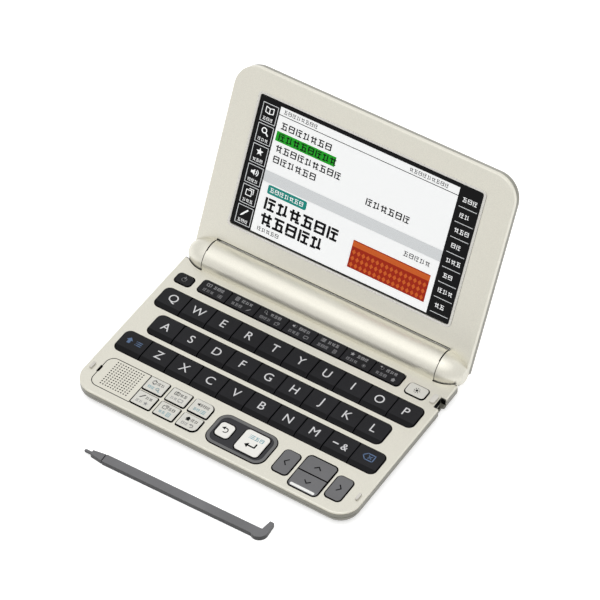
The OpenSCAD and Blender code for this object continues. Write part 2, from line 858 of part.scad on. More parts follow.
module letter_key(row, i) {
    w = key_pitch - key_gap;
    x = (i - (len(letter_rows[row]) - 1) / 2) * key_pitch;
    y = first_row_y + row * row_pitch;
    color(charcoal) from_origin() intersection() {
        translate([x - w / 2, y, 0]) rotate([90, 0, 90]) linear_extrude(w) letter_section();
        union() {
            translate([0, 0, key_bottom + key_lip_t]) linear_extrude(deck_z) letter_row_room(row, key_clear);
            translate([x - w, y - row_d, 0]) cube([2 * w, 2 * row_d, key_bottom + key_lip_t]);
        }
    }
}

// A plain key: its face follows the opening that its children give, over a lip at front and back.
// Its first child is the opening drawn in by the key's clearance.
module pressed_key(at, size, rise, tint, w_lip) {
    color(tint) from_origin() {
        translate([0, 0, key_bottom]) linear_extrude(deck_z + rise - key_bottom) children();
        translate([at[0] - w_lip / 2, at[1] - size[1] / 2 - key_lip, key_bottom])
            cube([w_lip, size[1] + 2 * key_lip, key_lip_t]);
    }
}

module shortcut_key(i) {
    pressed_key(shortcut_at(i), [shortcut_w, shortcut_d - key_lip], key_rise, champagne, shortcut_w / 2)
        shortcut_room(i, key_clear);
}

module function_keys() {
    w = function_pitch - key_gap;
    rise = key_rise * 0.7;
    for (i = [0 : function_n - 1]) {
        x = function_x + (i - (function_n - 1) / 2) * function_pitch;
        pressed_key([x, function_y], [w, function_d], rise, charcoal, w * 0.8)
            intersection() {
                function_room(key_clear);
                translate([x - w / 2, 0]) square([w, 2 * hinge_y]);
            }
    }
}

module rounded_key(at, size, r, rise, tint) {
    pressed_key(at, size, rise, tint, size[0] - 2 * r) small_room(at, size, r, key_clear);
}

// The rocker bulges about the pivot bar that it tips on, and a groove parts its two halves
module rocker() {
    face_w = rocker_size[0] - 2 * key_clear;
    color(grey_key) from_origin() {
        difference() {
            intersection() {
                translate([0, 0, key_bottom]) linear_extrude(deck_z)
                    small_room(rocker_at, rocker_size, rocker_corner_r, key_clear + thin_gap);
                translate([rocker_at[0], rocker_at[1], deck_z + rocker_rise - rocker_arc_r])
                    rotate([0, 90, 0]) cylinder(r = rocker_arc_r, h = face_w + cut, center = true, $fn = 256);
            }
            translate([rocker_at[0], rocker_at[1], deck_z])
                cube([rocker_size[0], rocker_groove, 2 * rocker_rise + rocker_groove], center = true);
        }
        translate([rocker_at[0], rocker_at[1], rocker_pivot_z]) rotate([0, 90, 0])
            cylinder(r = rocker_pin_r, h = rocker_size[0] + 2 * key_lip, center = true);
    }
}

// Lid, in its own axes

module lid_slab_outline(inset) {
    translate([0, lid_slab / 2 - lid_len])
        rounded([body_w - 2 * inset, lid_slab - 2 * inset], lid_corner_r - inset);
}

// What is cut from the lid's slab round the barrel and below the hinge axis
module barrel_bite() {
    translate([-cap_x, -lid_low, -body_w / 2]) cube([2 * cap_x, body_w, body_w]);
    translate([-body_w, 0, -body_w / 2]) cube([2 * body_w, body_w, body_w]);
}

module window_room(grow, z0, z1) {
    rounded_block([0, -window_mid], [window_w + 2 * grow, window_h + 2 * grow], window_corner_r + grow, z0, z1);
}

module lid_bezel() {
    inner_low = lid_low + lid_wall;
    color(champagne) lid_place() difference() {
        union() {
            difference() {
                translate([0, lid_slab / 2 - lid_len, lid_seam]) mirror([0, 0, 1])
                    soft_plate(body_w, lid_slab, bezel_depth, lid_corner_r, bezel_edge_r);
                barrel_bite();
                intersection() {
                    translate([0, 0, lid_in + bezel_t]) linear_extrude(lid_t) lid_slab_outline(lid_wall);
                    translate([-body_w, -2 * lid_len - inner_low, 0]) cube([2 * body_w, 2 * lid_len, lid_out]);
                }
            }
            both_sides() cap_shape(0, 0);
            window_room(window_lip_w, lid_in - window_lip_h, lid_in + thin_gap);
        }
        window_room(0, lid_in - cut, lid_seam);
        both_sides() translate([cap_x - cut, 0, 0]) rotate([0, 90, 0])
            cylinder(r = pin_r + pin_clear / 2, h = pin_len + pin_end_gap + cut);
    }
}

module lid_back_cover() {
    color(champagne) lid_place() difference() {
        translate([0, lid_slab / 2 - lid_len, lid_seam])
            soft_plate(body_w, lid_slab, lid_out - lid_seam, lid_corner_r, lid_back_r);
        translate([0, 0, lid_seam - cut]) linear_extrude(seam_w + cut) difference() {
            lid_slab_outline(-cut);
            lid_slab_outline(seam_depth);
        }
        barrel_bite();
        both_sides() cap_shape(glass_clear, 1);
        intersection() {
            translate([0, 0, lid_seam - cut]) linear_extrude(lid_out - lid_back_t - lid_seam + cut)
                lid_slab_outline(lid_wall + 1);
            translate([-body_w, -2 * lid_len - lid_low - lid_wall, 0]) cube([2 * body_w, 2 * lid_len, 2 * lid_out]);
        }
    }
}

module display_panel() {
    body_top = lid_out - lid_back_t - rest_gap;
    color([0.08, 0.08, 0.09]) lid_place() union() {
        window_room(-glass_clear, lid_in + glass_sink, lid_in + bezel_t + 2 * thin_gap);
        translate([-panel_w / 2, -panel_high, lid_in + bezel_t + thin_gap])
            cube([panel_w, panel_high - panel_low, body_top - lid_in - bezel_t - thin_gap]);
    }
}

module hinge_pins() {
    color(steel) lid_place() both_sides()
        translate([pin_inner, 0, 0]) rotate([0, 90, 0]) cylinder(r = pin_r, h = cap_x + pin_len - pin_inner);
}

// The stylus's tail in plan: a round heel, and a hook that narrows to its end
module tail_outline() {
    heel_at = [stylus_len - heel_r, heel_r - stylus_w / 2 - heel_drop];
    difference() {
        translate(heel_at) circle(heel_r);
        translate([0, stylus_w / 2]) square([2 * stylus_len, 2 * heel_r]);
    }
    polygon([[stylus_len - tail_root_w, heel_at[1]], [stylus_len, heel_at[1]],
             [stylus_len - tail_lean, tail_rise], [stylus_len - tail_lean - tail_tip_w, tail_rise]]);
}

// Stylus: thin tip, tapered collar with a groove behind it, flat body and hooked tail
module stylus() {
    collar_end = stylus_tip_len + stylus_collar_len;
    body_start = collar_end + collar_ring_w;
    neck_w = collar_rear_w - 2 * collar_ring_depth;
    color(grey_key) from_origin() translate([stylus_x, -stylus_front, 0]) rotate(stylus_turn) {
        translate([stylus_tip_r, 0, stylus_t / 2]) rotate([0, 90, 0])
            cylinder(r = stylus_tip_r, h = stylus_tip_len);
        translate([stylus_tip_r, 0, stylus_t / 2]) sphere(stylus_tip_r, $fn = 24);
        linear_extrude(stylus_t) {
            polygon([[stylus_tip_len, -collar_front_w / 2], [collar_end, -collar_rear_w / 2],
                     [collar_end, collar_rear_w / 2], [stylus_tip_len, collar_front_w / 2]]);
            translate([collar_end - cut, -neck_w / 2]) square([collar_ring_w + 2 * cut, neck_w]);
            translate([body_start, -stylus_w / 2]) square([stylus_len - heel_r - body_start, stylus_w]);
            tail_outline();
        }
    }
}

bottom_case();
top_case();
battery_door();
battery_cells();
battery_contacts();
main_board();
key_mat();
speaker();
speaker_grille();
key_island();
rubber_pads();
screws();
lid_bezel();
lid_back_cover();
display_panel();
hinge_pins();
stylus();
for (row = [0 : len(letter_rows) - 1]) for (i = [0 : len(letter_rows[row]) - 1])
    letter_key(row, i);
for (i = [0 : shortcut_n - 1])
    shortcut_key(i);
function_keys();
rounded_key(power_at, power_size, small_corner_r, key_rise * 0.7, charcoal);  // power_key
rounded_key(backlight_at, backlight_size, small_corner_r, key_rise, steel);  // backlight_key
rounded_key(back_at, back_size, white_corner_r, key_rise, off_white);  // back_key
rounded_key(enter_at, enter_size, white_corner_r, key_rise, off_white);  // enter_key
rounded_key([arrow_left_x, arrow_y], arrow_size, white_corner_r, key_rise * 0.8, grey_key);  // arrow_key_left
rounded_key([arrow_right_x, arrow_y], arrow_size, white_corner_r, key_rise * 0.8, grey_key);  // arrow_key_right
rocker();  // arrow_key_up_down
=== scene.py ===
"""Looks of a pocket electronic dictionary: finishes, legends, display picture, lights and camera."""

import json
import math

import bmesh
import bpy
from mathutils import Matrix, Vector


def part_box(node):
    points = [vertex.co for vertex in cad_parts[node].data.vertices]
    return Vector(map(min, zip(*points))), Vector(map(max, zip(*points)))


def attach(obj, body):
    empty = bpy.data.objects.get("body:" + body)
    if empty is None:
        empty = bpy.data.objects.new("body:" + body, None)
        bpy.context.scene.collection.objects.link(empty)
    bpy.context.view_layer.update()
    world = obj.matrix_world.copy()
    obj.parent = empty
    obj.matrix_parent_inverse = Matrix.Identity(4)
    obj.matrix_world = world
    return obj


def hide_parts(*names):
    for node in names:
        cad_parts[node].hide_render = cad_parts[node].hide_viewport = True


MM = 0.001
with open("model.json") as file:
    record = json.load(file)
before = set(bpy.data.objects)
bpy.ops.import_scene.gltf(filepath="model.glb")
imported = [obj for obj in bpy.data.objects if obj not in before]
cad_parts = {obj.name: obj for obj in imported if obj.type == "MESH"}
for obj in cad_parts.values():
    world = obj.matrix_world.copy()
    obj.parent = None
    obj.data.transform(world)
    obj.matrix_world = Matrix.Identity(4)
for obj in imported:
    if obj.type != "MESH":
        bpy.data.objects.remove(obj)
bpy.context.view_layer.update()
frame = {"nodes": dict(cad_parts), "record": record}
nodes = frame["nodes"]
behaviour = frame["record"]["behaviour"]
body_of_node = {node: body for body, members in behaviour["bodies"].items() for node in members}
hinge_joint = next(joint for joint in behaviour["joints"] if joint["name"] == "lid_hinge")
hinge = Vector(hinge_joint["pos_m"])
lid_open = math.radians(-hinge_joint["range_deg"][0])
ACROSS = Vector((1, 0, 0))
UP = Vector((0, 0, 1))
lid_up = Vector((0, -math.cos(lid_open), math.sin(lid_open)))
lid_out = ACROSS.cross(lid_up)

LETTER_KEYS = ["key_" + letter for letter in "qwertyuiopasdfghjklzxcvbnm"]
CHARCOAL_KEYS = LETTER_KEYS + ["key_shift", "key_dash", "key_delete", "function_keys", "power_key"]
SILVER_KEYS = [f"shortcut_key_{i}" for i in range(1, 7)] + ["backlight_key"]
WHITE_KEYS = ["back_key", "enter_key"]
ARROW_KEYS = ["arrow_key_left", "arrow_key_right", "arrow_key_up_down"]


# Finishes: scales in cycles per metre, lengths in millimetres

TONE_SCALE = 45
GLOSS_SPREAD = 0.05
COAT_ROUGHNESS = 0.2
FLAKE_SCALE = 6000
FLAKE_TONES = (0.94, 1.05)
FLAKE_ROUGHNESS = (0.31, 0.38)
PAINT_WAVE_SCALE = 2500
DOT_PITCH = 0.14
DOT_GAP = 0.008
SCRATCH_SCALE = 9000
SCRATCH_STRETCH = (0.05, 1, 1)


def new_material(name):
    material = bpy.data.materials.new(name)
    material.use_nodes = True
    tree = material.node_tree
    return material, tree, tree.nodes["Principled BSDF"]


def link(tree, source, target):
    tree.links.new(source, target)


def own_place(tree):
    """The object's own coordinates."""
    return tree.nodes.new("ShaderNodeTexCoord").outputs["Object"]


def noise(tree, scale, detail=3.0, roughness=0.5):
    node = tree.nodes.new("ShaderNodeTexNoise")
    node.inputs["Scale"].default_value = scale
    node.inputs["Detail"].default_value = detail
    node.inputs["Roughness"].default_value = roughness
    link(tree, own_place(tree), node.inputs["Vector"])
    return node.outputs["Fac"]


def ramp(tree, value, low, high, start=0.3, end=0.7):
    """Blends two colours as the value goes from start to end."""
    node = tree.nodes.new("ShaderNodeValToRGB")
    node.color_ramp.elements[0].position = start
    node.color_ramp.elements[0].color = (*low, 1)
    node.color_ramp.elements[1].position = end
    node.color_ramp.elements[1].color = (*high, 1)
    link(tree, value, node.inputs["Fac"])
    return node.outputs["Color"]


def span(tree, value, low, high):
    """Maps a 0 to 1 value to low to high."""
    node = tree.nodes.new("ShaderNodeMapRange")
    node.inputs["To Min"].default_value = low
    node.inputs["To Max"].default_value = high
    link(tree, value, node.inputs["Value"])
    return node.outputs["Result"]


def bump(tree, height, shader, strength, distance):
    node = tree.nodes.new("ShaderNodeBump")
    node.inputs["Strength"].default_value = strength
    node.inputs["Distance"].default_value = distance * MM
    link(tree, height, node.inputs["Height"])
    link(tree, node.outputs["Normal"], shader.inputs["Normal"])


def shade(colour, factor):
    return tuple(min(1.0, channel * factor) for channel in colour)


def moulded(name, colour, rough, grain=9000, relief=0.25, depth=0.02, spread=0.06,
            metallic=0.0, coat=0.0, gloss=0.5):
    """Moulded or painted plastic: a fine grain, a slow change of tone and an uneven gloss."""
    material, tree, shader = new_material(name)
    tone = noise(tree, TONE_SCALE, 2)
    colours = ramp(tree, tone, shade(colour, 1 - spread), shade(colour, 1 + spread))
    link(tree, colours, shader.inputs["Base Color"])
    uneven = noise(tree, grain / 6, 3)
    roughness = span(tree, uneven, rough - GLOSS_SPREAD, rough + GLOSS_SPREAD)
    link(tree, roughness, shader.inputs["Roughness"])
    bump(tree, noise(tree, grain, 4, 0.6), shader, relief, depth)
    shader.inputs["Metallic"].default_value = metallic
    shader.inputs["Specular IOR Level"].default_value = gloss
    shader.inputs["Coat Weight"].default_value = coat
    shader.inputs["Coat Roughness"].default_value = COAT_ROUGHNESS
    return material


def ink(name, colour, spread=0.05, gloss=0.2):
    """Printed ink."""
    return moulded(name, colour, 0.5, relief=0.3, spread=spread, gloss=gloss)


def flake_paint(name, colour, metallic=0.7):
    """Metallic paint: small bright flakes in a satin coat."""
    material, tree, shader = new_material(name)
    grains = tree.nodes.new("ShaderNodeTexVoronoi")
    grains.inputs["Scale"].default_value = FLAKE_SCALE
    link(tree, own_place(tree), grains.inputs["Vector"])
    flakes = tree.nodes.new("ShaderNodeSeparateColor")
    link(tree, grains.outputs["Color"], flakes.inputs["Color"])
    dark, bright = (shade(colour, factor) for factor in FLAKE_TONES)
    link(tree, ramp(tree, flakes.outputs["Red"], dark, bright, 0.1, 0.95), shader.inputs["Base Color"])
    link(tree, span(tree, flakes.outputs["Green"], *FLAKE_ROUGHNESS), shader.inputs["Roughness"])
    bump(tree, noise(tree, PAINT_WAVE_SCALE, 3, 0.6), shader, 0.06, 0.01)
    shader.inputs["Metallic"].default_value = metallic
    shader.inputs["Coat Weight"].default_value = 0.1
    shader.inputs["Coat Roughness"].default_value = COAT_ROUGHNESS
    return material


def lit_picture(name, colour, glow):
    """A colour of the display: lit from behind, with the fine grid of its dots."""
    material, tree, shader = new_material(name)
    dots = tree.nodes.new("ShaderNodeTexBrick")
    dots.offset = 0
    dots.inputs["Scale"].default_value = 1
    dots.inputs["Brick Width"].default_value = DOT_PITCH * MM
    dots.inputs["Row Height"].default_value = DOT_PITCH * MM
    dots.inputs["Mortar Size"].default_value = DOT_GAP * MM
    dots.inputs["Color1"].default_value = (*colour, 1)
    dots.inputs["Color2"].default_value = (*shade(colour, 0.98), 1)
    dots.inputs["Mortar"].default_value = (*shade(colour, 0.8), 1)
    link(tree, own_place(tree), dots.inputs["Vector"])
    link(tree, dots.outputs["Color"], shader.inputs["Base Color"])
    link(tree, dots.outputs["Color"], shader.inputs["Emission Color"])
    shader.inputs["Emission Strength"].default_value = glow
    shader.inputs["Roughness"].default_value = 0.3
    shader.inputs["Specular IOR Level"].default_value = 0.08
    return material


def brushed(name, colour, rough=0.3):
    """Plain metal with fine scratches along X."""
    material, tree, shader = new_material(name)
    stretch = tree.nodes.new("ShaderNodeMapping")
    stretch.inputs["Scale"].default_value = SCRATCH_STRETCH
    streaks = tree.nodes.new("ShaderNodeTexNoise")
    streaks.inputs["Scale"].default_value = SCRATCH_SCALE
    link(tree, own_place(tree), stretch.inputs["Vector"])
    link(tree, stretch.outputs["Vector"], streaks.inputs["Vector"])
    height = streaks.outputs["Fac"]
    link(tree, ramp(tree, height, shade(colour, 0.8), shade(colour, 1.1)), shader.inputs["Base Color"])
    link(tree, span(tree, height, rough - 0.08, rough + 0.12), shader.inputs["Roughness"])
    bump(tree, height, shader, 0.15, 0.01)
    shader.inputs["Metallic"].default_value = 1.0
    return material


CHAMPAGNE = (0.72, 0.70, 0.615)
# Painted shade: a darker copy of the champagne paint for the outer walls and rims
SHADED_CHAMPAGNE = (0.27, 0.263, 0.222)
paint = flake_paint("champagne_paint", CHAMPAGNE)
shell_shade_paint = flake_paint("shaded_champagne_paint", SHADED_CHAMPAGNE, 0.35)
# The window trim's lighter paint is partly a painted highlight
trim_highlight_paint = moulded("window_trim_paint", (0.78, 0.76, 0.71), 0.28, metallic=0.2, coat=0.4, spread=0.02)
silver_key = flake_paint("silver_key_paint", (0.66, 0.65, 0.6), 0.3)
charcoal = moulded("charcoal_plastic", (0.011, 0.011, 0.013), 0.42, relief=0.9, depth=0.04,
                   spread=0.2, gloss=0.16)
# Painted shade: a darker copy of the charcoal plastic for the keys' front slopes and sides
charcoal_slope_shade = moulded("charcoal_slope_plastic", (0.006, 0.006, 0.007), 0.5, spread=0.2, gloss=0.1)
# Painted shade: near-black for walls, lines, strips and sheets where shade falls in gaps and holes
painted_shade_black = moulded("painted_shade_black", (0.003, 0.003, 0.003), 0.8, spread=0.2, gloss=0.02)
island_field = moulded("island_field_plastic", (0.03, 0.03, 0.034), 0.4, relief=0.3, gloss=0.2)
island_ring = moulded("island_ring_plastic", (0.13, 0.13, 0.13), 0.34, relief=0.2, gloss=0.3)
white_plastic = moulded("white_plastic", (0.8, 0.79, 0.75), 0.3, relief=0.15, spread=0.02, gloss=0.3)
arrow_grey = moulded("arrow_grey_plastic", (0.15, 0.15, 0.155), 0.36, relief=0.3, metallic=0.4,
                     gloss=0.3)
# Painted highlight: a bright strip for the rocker's front slope
arrow_painted_highlight = moulded("arrow_edge_silver", (0.8, 0.8, 0.78), 0.25, relief=0.1, metallic=0.4)
stylus_grey = moulded("stylus_grey_plastic", (0.16, 0.16, 0.166), 0.4, relief=0.5, spread=0.1, gloss=0.3)
# Painted shade: a darker copy of the stylus grey for its sides
stylus_side_shade = moulded("stylus_side_plastic", (0.07, 0.07, 0.073), 0.4, relief=0.5, spread=0.1, gloss=0.3)
panel_black = moulded("panel_black_glass", (0.003, 0.003, 0.0035), 0.12, relief=0.02, gloss=0.12)
foot_rubber = moulded("foot_rubber", (0.05, 0.05, 0.05), 0.75, relief=0.6, depth=0.05)
pad_rubber = moulded("clear_pad_rubber", (0.62, 0.6, 0.55), 0.45, relief=0.3, gloss=0.3)
speaker_cloth = moulded("speaker_cone", (0.01, 0.01, 0.011), 0.9, grain=5000, relief=0.6,
                        spread=0.2, gloss=0.1)
steel = brushed("plain_steel", (0.55, 0.55, 0.56))
board_green = moulded("board_varnish", (0.02, 0.11, 0.05), 0.35, relief=0.5, spread=0.25, coat=0.3)
mat_rubber = moulded("mat_rubber", (0.16, 0.16, 0.165), 0.7, relief=0.5)
cell_wrap = moulded("cell_wrap", (0.05, 0.06, 0.09), 0.28, relief=0.1, coat=0.5)
ink_white = ink("ink_white", (0.62, 0.62, 0.63), 0.04)
ink_soft = ink("ink_soft_white", (0.34, 0.34, 0.35))
ink_blue = ink("ink_blue", (0.1, 0.16, 0.28))
ink_teal = ink("ink_teal", (0.12, 0.33, 0.4))
ink_black = ink("ink_black", (0.006, 0.006, 0.007), 0.1, 0.1)
ink_grey = ink("ink_grey", (0.24, 0.24, 0.25))
PICTURE = {
    "white": lit_picture("picture_white", (0.9, 0.91, 0.91), 0.35),
    "ink": lit_picture("picture_ink", (0.004, 0.004, 0.005), 0.0),
    "green": lit_picture("picture_green", (0.02, 0.42, 0.025), 0.1),
    "teal": lit_picture("picture_teal", (0.02, 0.3, 0.25), 0.1),
    "red": lit_picture("picture_red", (0.42, 0.03, 0.012), 0.08),
    "orange": lit_picture("picture_orange", (0.72, 0.14, 0.03), 0.08),
    "pale": lit_picture("picture_pale", (0.72, 0.74, 0.75), 0.2),
}


# Meshes and objects

JOIN_REACH = 0.002
SHARP_DEGREES = 30
FLAT_DEGREES = 0.5


def mesh_data(mesh, name):
    """Mesh data from a working mesh, which is freed."""
    data = bpy.data.meshes.new(name)
    mesh.to_mesh(data)
    mesh.free()
    return data


def linked_object(name, data):
    item = bpy.data.objects.new(name, data)
    bpy.context.scene.collection.objects.link(item)
    return item


def turned(across, up):
    """A rotation that lays X and Y along two directions, and Z square to both."""
    return Matrix((across, up, across.cross(up))).transposed().to_4x4()


def sharp_edges(mesh):
    limit = math.radians(SHARP_DEGREES)
    return [edge for edge in mesh.edges
            if len(edge.link_faces) == 2 and edge.calc_face_angle(0) > limit]


def soften(mesh, edges, width, segments=2, clamp=True):
    """Rounds edges by a width in millimetres."""
    bmesh.ops.bevel(mesh, geom=edges, offset=width * MM, segments=segments, profile=0.5,
                    affect="EDGES", clamp_overlap=clamp)


def band_mesh(levels, closed=False):
    """Faces between outlines that lie at given heights, in millimetres."""
    mesh = bmesh.new()
    rings = []
    for outline, z in levels:
        rings.append([mesh.verts.new((x * MM, y * MM, z * MM)) for x, y in outline])
    following = rings[1:] + (rings[:1] if closed else [])
    for ring, after in zip(rings, following):
        for i in range(len(ring)):
            j = (i + 1) % len(ring)
            mesh.faces.new((ring[i], ring[j], after[j], after[i]))
    bmesh.ops.recalc_face_normals(mesh, faces=mesh.faces)
    return mesh


def finish_mesh(mesh, name, finishes, body):
    """Turns a working mesh into a smooth piece whose sharp edges stay sharp and flat faces flat."""
    for face in mesh.faces:
        face.smooth = True
    for edge in sharp_edges(mesh):
        edge.smooth = False
    data = mesh_data(mesh, name)
    for material in finishes:
        data.materials.append(material)
    piece = linked_object(name, data)
    flatten = piece.modifiers.new("flat_faces", "WEIGHTED_NORMAL")
    flatten.keep_sharp = True
    flatten.weight = 100
    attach(piece, body)
    return piece


# The part's own nodes, given their finish and soft edges


def joined_mesh(node):
    """A copy of a node's mesh with its split points joined and its flat faces whole."""
    mesh = bmesh.new()
    mesh.from_mesh(nodes[node].data)
    bmesh.ops.remove_doubles(mesh, verts=mesh.verts, dist=JOIN_REACH * MM)
    bmesh.ops.dissolve_limit(mesh, angle_limit=math.radians(FLAT_DEGREES), verts=mesh.verts,
                             edges=mesh.edges)
    return mesh


def dress(node, finishes, edge=0.0, segments=2, pick=lambda face: 0):
    """Shows a node with soft edges, in place of the plain one: pick gives the finish of each face."""
    mesh = joined_mesh(node)
    for face in mesh.faces:
        face.material_index = int(pick(face))
    if edge:
        soften(mesh, sharp_edges(mesh), edge, segments)
    piece = finish_mesh(mesh, node + "_shown", finishes, body_of_node[node])
    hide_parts(node)


def coat_node(node, material):
    """Leaves a node as it is and gives it a finish."""
    slots = nodes[node].data.materials
    slots.clear()
    slots.append(material)


def rim_edges(node, pick):
    """The upper edges of a node's walls painted in shade: both ends, and the way out over the top face.
    """
    mesh = joined_mesh(node)
    rims = []
    for edge in mesh.edges:
        walls = [face for face in edge.link_faces if pick(face) == 1]
        tops = [face for face in edge.link_faces if face.normal.z > 0.9]
        if len(walls) == 1 and len(tops) == 1:
            away = -walls[0].normal
            away.z = 0
            start, end = (tuple(round(c, 7) for c in vert.co) for vert in edge.verts)
            rims.append((start, end, away.normalized()))
    mesh.free()
    return rims


def ways_out(rims):
    """The way out at each point, summed over the edges that meet there."""
    ways = {}
    for start, end, away in rims:
        for point in (start, end):
            ways[point] = ways.get(point, Vector((0, 0, 0))) + away
    return ways


RIM_WIDTH = 0.3
RIM_LIFT = 0.012


def painted_shade_lines(node, pick):
    """A thin line of painted shade on the top face round each opening."""
    rims = rim_edges(node, pick)
    ways = ways_out(rims)
    lift = Vector((0, 0, RIM_LIFT * MM))
    mesh = bmesh.new()
    for start, end, away in rims:
        inner, outer = [], []
        for point in (start, end):
            way = ways[point].normalized()
            reach = RIM_WIDTH * MM / max(0.5, way.dot(away))
            inner.append(mesh.verts.new(Vector(point) + lift))
            outer.append(mesh.verts.new(Vector(point) + lift + way * reach))
        mesh.faces.new((inner[0], inner[1], outer[1], outer[0]))
    for face in mesh.faces:
        face.normal_update()
        if face.normal.z < 0:
            face.normal_flip()
    finish_mesh(mesh, node + "_painted_shade_lines", [painted_shade_black], body_of_node[node])


# Which finish a face takes, by its direction and its place in millimetres from the hinge axis: the
# deck's openings with its round front corners, the end caps, the outer wall and the bezel's foot

OPENINGS_HALF = 70.8
OPENINGS_FRONT = -94.5
OPENINGS_BACK = -13
OPENINGS_LOW = -1.4
OPENINGS_HIGH = 0.1
CORNER_X = 62
CORNER_Y = -84.3
CORNER_REACH = 11.2
CAP_SIDE = 62.8
CAP_REACH = 9.5
OUTER_HALF = 68
OUTER_FRONT = -90
BEZEL_FOOT = 10.5
BEZEL_FOOT_HALF = 63.5
CAP_WALL_HALF = 64


def from_hinge(face):
    return (face.calc_center_median() - hinge) / MM


def upright(face):
    return abs(face.normal.z) < 0.5


def sloped_or_upright(face):
    return face.normal.z < 0.97


def among_openings(place):
    """Whether a place is in the part of the deck that has the openings, clear of the round corners."""
    inside = abs(place.x) < OPENINGS_HALF and OPENINGS_FRONT < place.y < OPENINGS_BACK
    if abs(place.x) > CORNER_X and place.y < CORNER_Y:
        inside = inside and math.hypot(abs(place.x) - CORNER_X, place.y - CORNER_Y) < CORNER_REACH
    return inside and OPENINGS_LOW < place.z < OPENINGS_HIGH


def top_case_finish(face):
    """Paint, 1 for painted shade on the walls of the openings and beside the end caps, 2 for painted
    shade on the outer wall, in a darker copy of the paint.
    """
    place = from_hinge(face)
    by_cap = abs(place.x) > CAP_SIDE and math.hypot(place.y, place.z) < CAP_REACH
    if by_cap or (upright(face) and among_openings(place)):
        return 1
    at_edge = abs(place.x) > OUTER_HALF or place.y < OUTER_FRONT
    return 2 if upright(face) and at_edge and place.z < OPENINGS_LOW else 0


def back_cover_finish(face):
    """Paint on the flat back, 1 for painted shade on the rim round it, in a darker copy of the paint."""
    return abs(face.normal.dot(lid_out)) < 0.8


def bezel_finish(face):
    """Paint, 1 for painted shade on the walls that face the barrel."""
    place = from_hinge(face)
    low = place.dot(lid_up) < BEZEL_FOOT and abs(place.x) < BEZEL_FOOT_HALF
    below = low and face.normal.dot(lid_up) < -0.7
    beside = abs(face.normal.x) > 0.9 and abs(place.x) < CAP_WALL_HALF
    return below or beside


# Flat shapes, as lists of points


def rect(x, y, w, h):
    left, right = x - w / 2, x + w / 2
    low, high = y - h / 2, y + h / 2
    return [(left, low), (right, low), (right, high), (left, high)]


def disc(x, y, r, count=20):
    angles = [2 * math.pi * i / count for i in range(count)]
    return [(x + r * math.cos(a), y + r * math.sin(a)) for a in angles]


def round_rect(x, y, w, h, r, count=5):
    points = []
    for side, end, start in ((1, 1, 0), (-1, 1, 90), (-1, -1, 180), (1, -1, 270)):
        centre_x = x + side * (w / 2 - r)
        centre_y = y + end * (h / 2 - r)
        for i in range(count + 1):
            a = math.radians(start + 90 * i / count)
            points.append((centre_x + r * math.cos(a), centre_y + r * math.sin(a)))
    return points


def stroke(points, width):
    """A line with round ends and joints."""
    shapes = [disc(x, y, width / 2, 10) for x, y in points]
    for (x0, y0), (x1, y1) in zip(points, points[1:]):
        length = math.hypot(x1 - x0, y1 - y0)
        nx = -(y1 - y0) / length * width / 2
        ny = (x1 - x0) / length * width / 2
        shapes.append([(x0 - nx, y0 - ny), (x1 - nx, y1 - ny), (x1 + nx, y1 + ny), (x0 + nx, y0 + ny)])
    return shapes


def arc(x, y, r, start, end, width, count=14):
    angles = [math.radians(start + (end - start) * i / count) for i in range(count + 1)]
    return stroke([(x + r * math.cos(a), y + r * math.sin(a)) for a in angles], width)


def frame_line(x, y, w, h, width):
    corners = rect(x, y, w, h)
    return stroke(corners + corners[:1], width)


def scaled(shapes, size, dx=0.0, dy=0.0):
    return [[(x * size + dx, y * size + dy) for x, y in shape] for shape in shapes]


# Prints and the planes they lie on: X and Y run along the print, Z out of the surface

PRINT_SINK = 0.01
PRINT_THICK = 0.02


def lid_plane(depth):
    """The lid's own plane: X across, Y up the lid from the hinge, Z out of its inner face."""
    return Matrix.Translation(hinge - lid_out * depth * MM) @ turned(ACROSS, lid_up)


def top_plane(node, dx=0.0, dy=0.0):
    """A plane on the middle of a node's top."""
    low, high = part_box(node)
    x = (low[0] + high[0]) / 2 + dx * MM
    y = (low[1] + high[1]) / 2 + dy * MM
    return Matrix.Translation((x, y, high[2]))


def print_on(name, shapes, plane, material, body, thick=PRINT_THICK):
    """Thin raised prints on a plane."""
    mesh = bmesh.new()
    for shape in shapes:
        base = [mesh.verts.new((x * MM, y * MM, -PRINT_SINK * MM)) for x, y in shape]
        top = [mesh.verts.new((x * MM, y * MM, thick * MM)) for x, y in shape]
        mesh.faces.new(top)
        mesh.faces.new(base[::-1])
        for i in range(len(shape)):
            j = (i + 1) % len(shape)
            mesh.faces.new((base[i], base[j], top[j], top[i]))
    mesh.transform(plane)
    data = mesh_data(mesh, name)
    data.materials.append(material)
    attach(linked_object(name, data), body)


def print_key(node, name, shapes, material, dy=0.0):
    """Prints on the middle of a key's top, or dy further back."""
    print_on(name, shapes, top_plane(node, 0, dy), material, body_of_node[node])


def letter_on(name, text, size, plane, material, body, weight=0.0):
    """A generic letter or sign, centred on a plane."""
    curve = bpy.data.curves.new(name, "FONT")
    curve.body = text
    curve.size = size * MM
    curve.offset = weight * MM
    curve.extrude = PRINT_THICK * MM / 2
    curve.align_x = "CENTER"
    holder = linked_object(name + "_curve", curve)
    bpy.context.view_layer.update()
    shown = holder.evaluated_get(bpy.context.evaluated_depsgraph_get())
    data = bpy.data.meshes.new_from_object(shown)
    bpy.data.objects.remove(holder)
    xs = [vert.co.x for vert in data.vertices]
    ys = [vert.co.y for vert in data.vertices]
    middle = Vector(((min(xs) + max(xs)) / 2, (min(ys) + max(ys)) / 2, 0))
    data.transform(Matrix.Translation(-middle))
    data.transform(plane)
    data.name = name
    data.materials.clear()
    data.materials.append(material)
    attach(linked_object(name, data), body)


# Made-up bar signs: the bars of each by middle, width and height, about one unit high

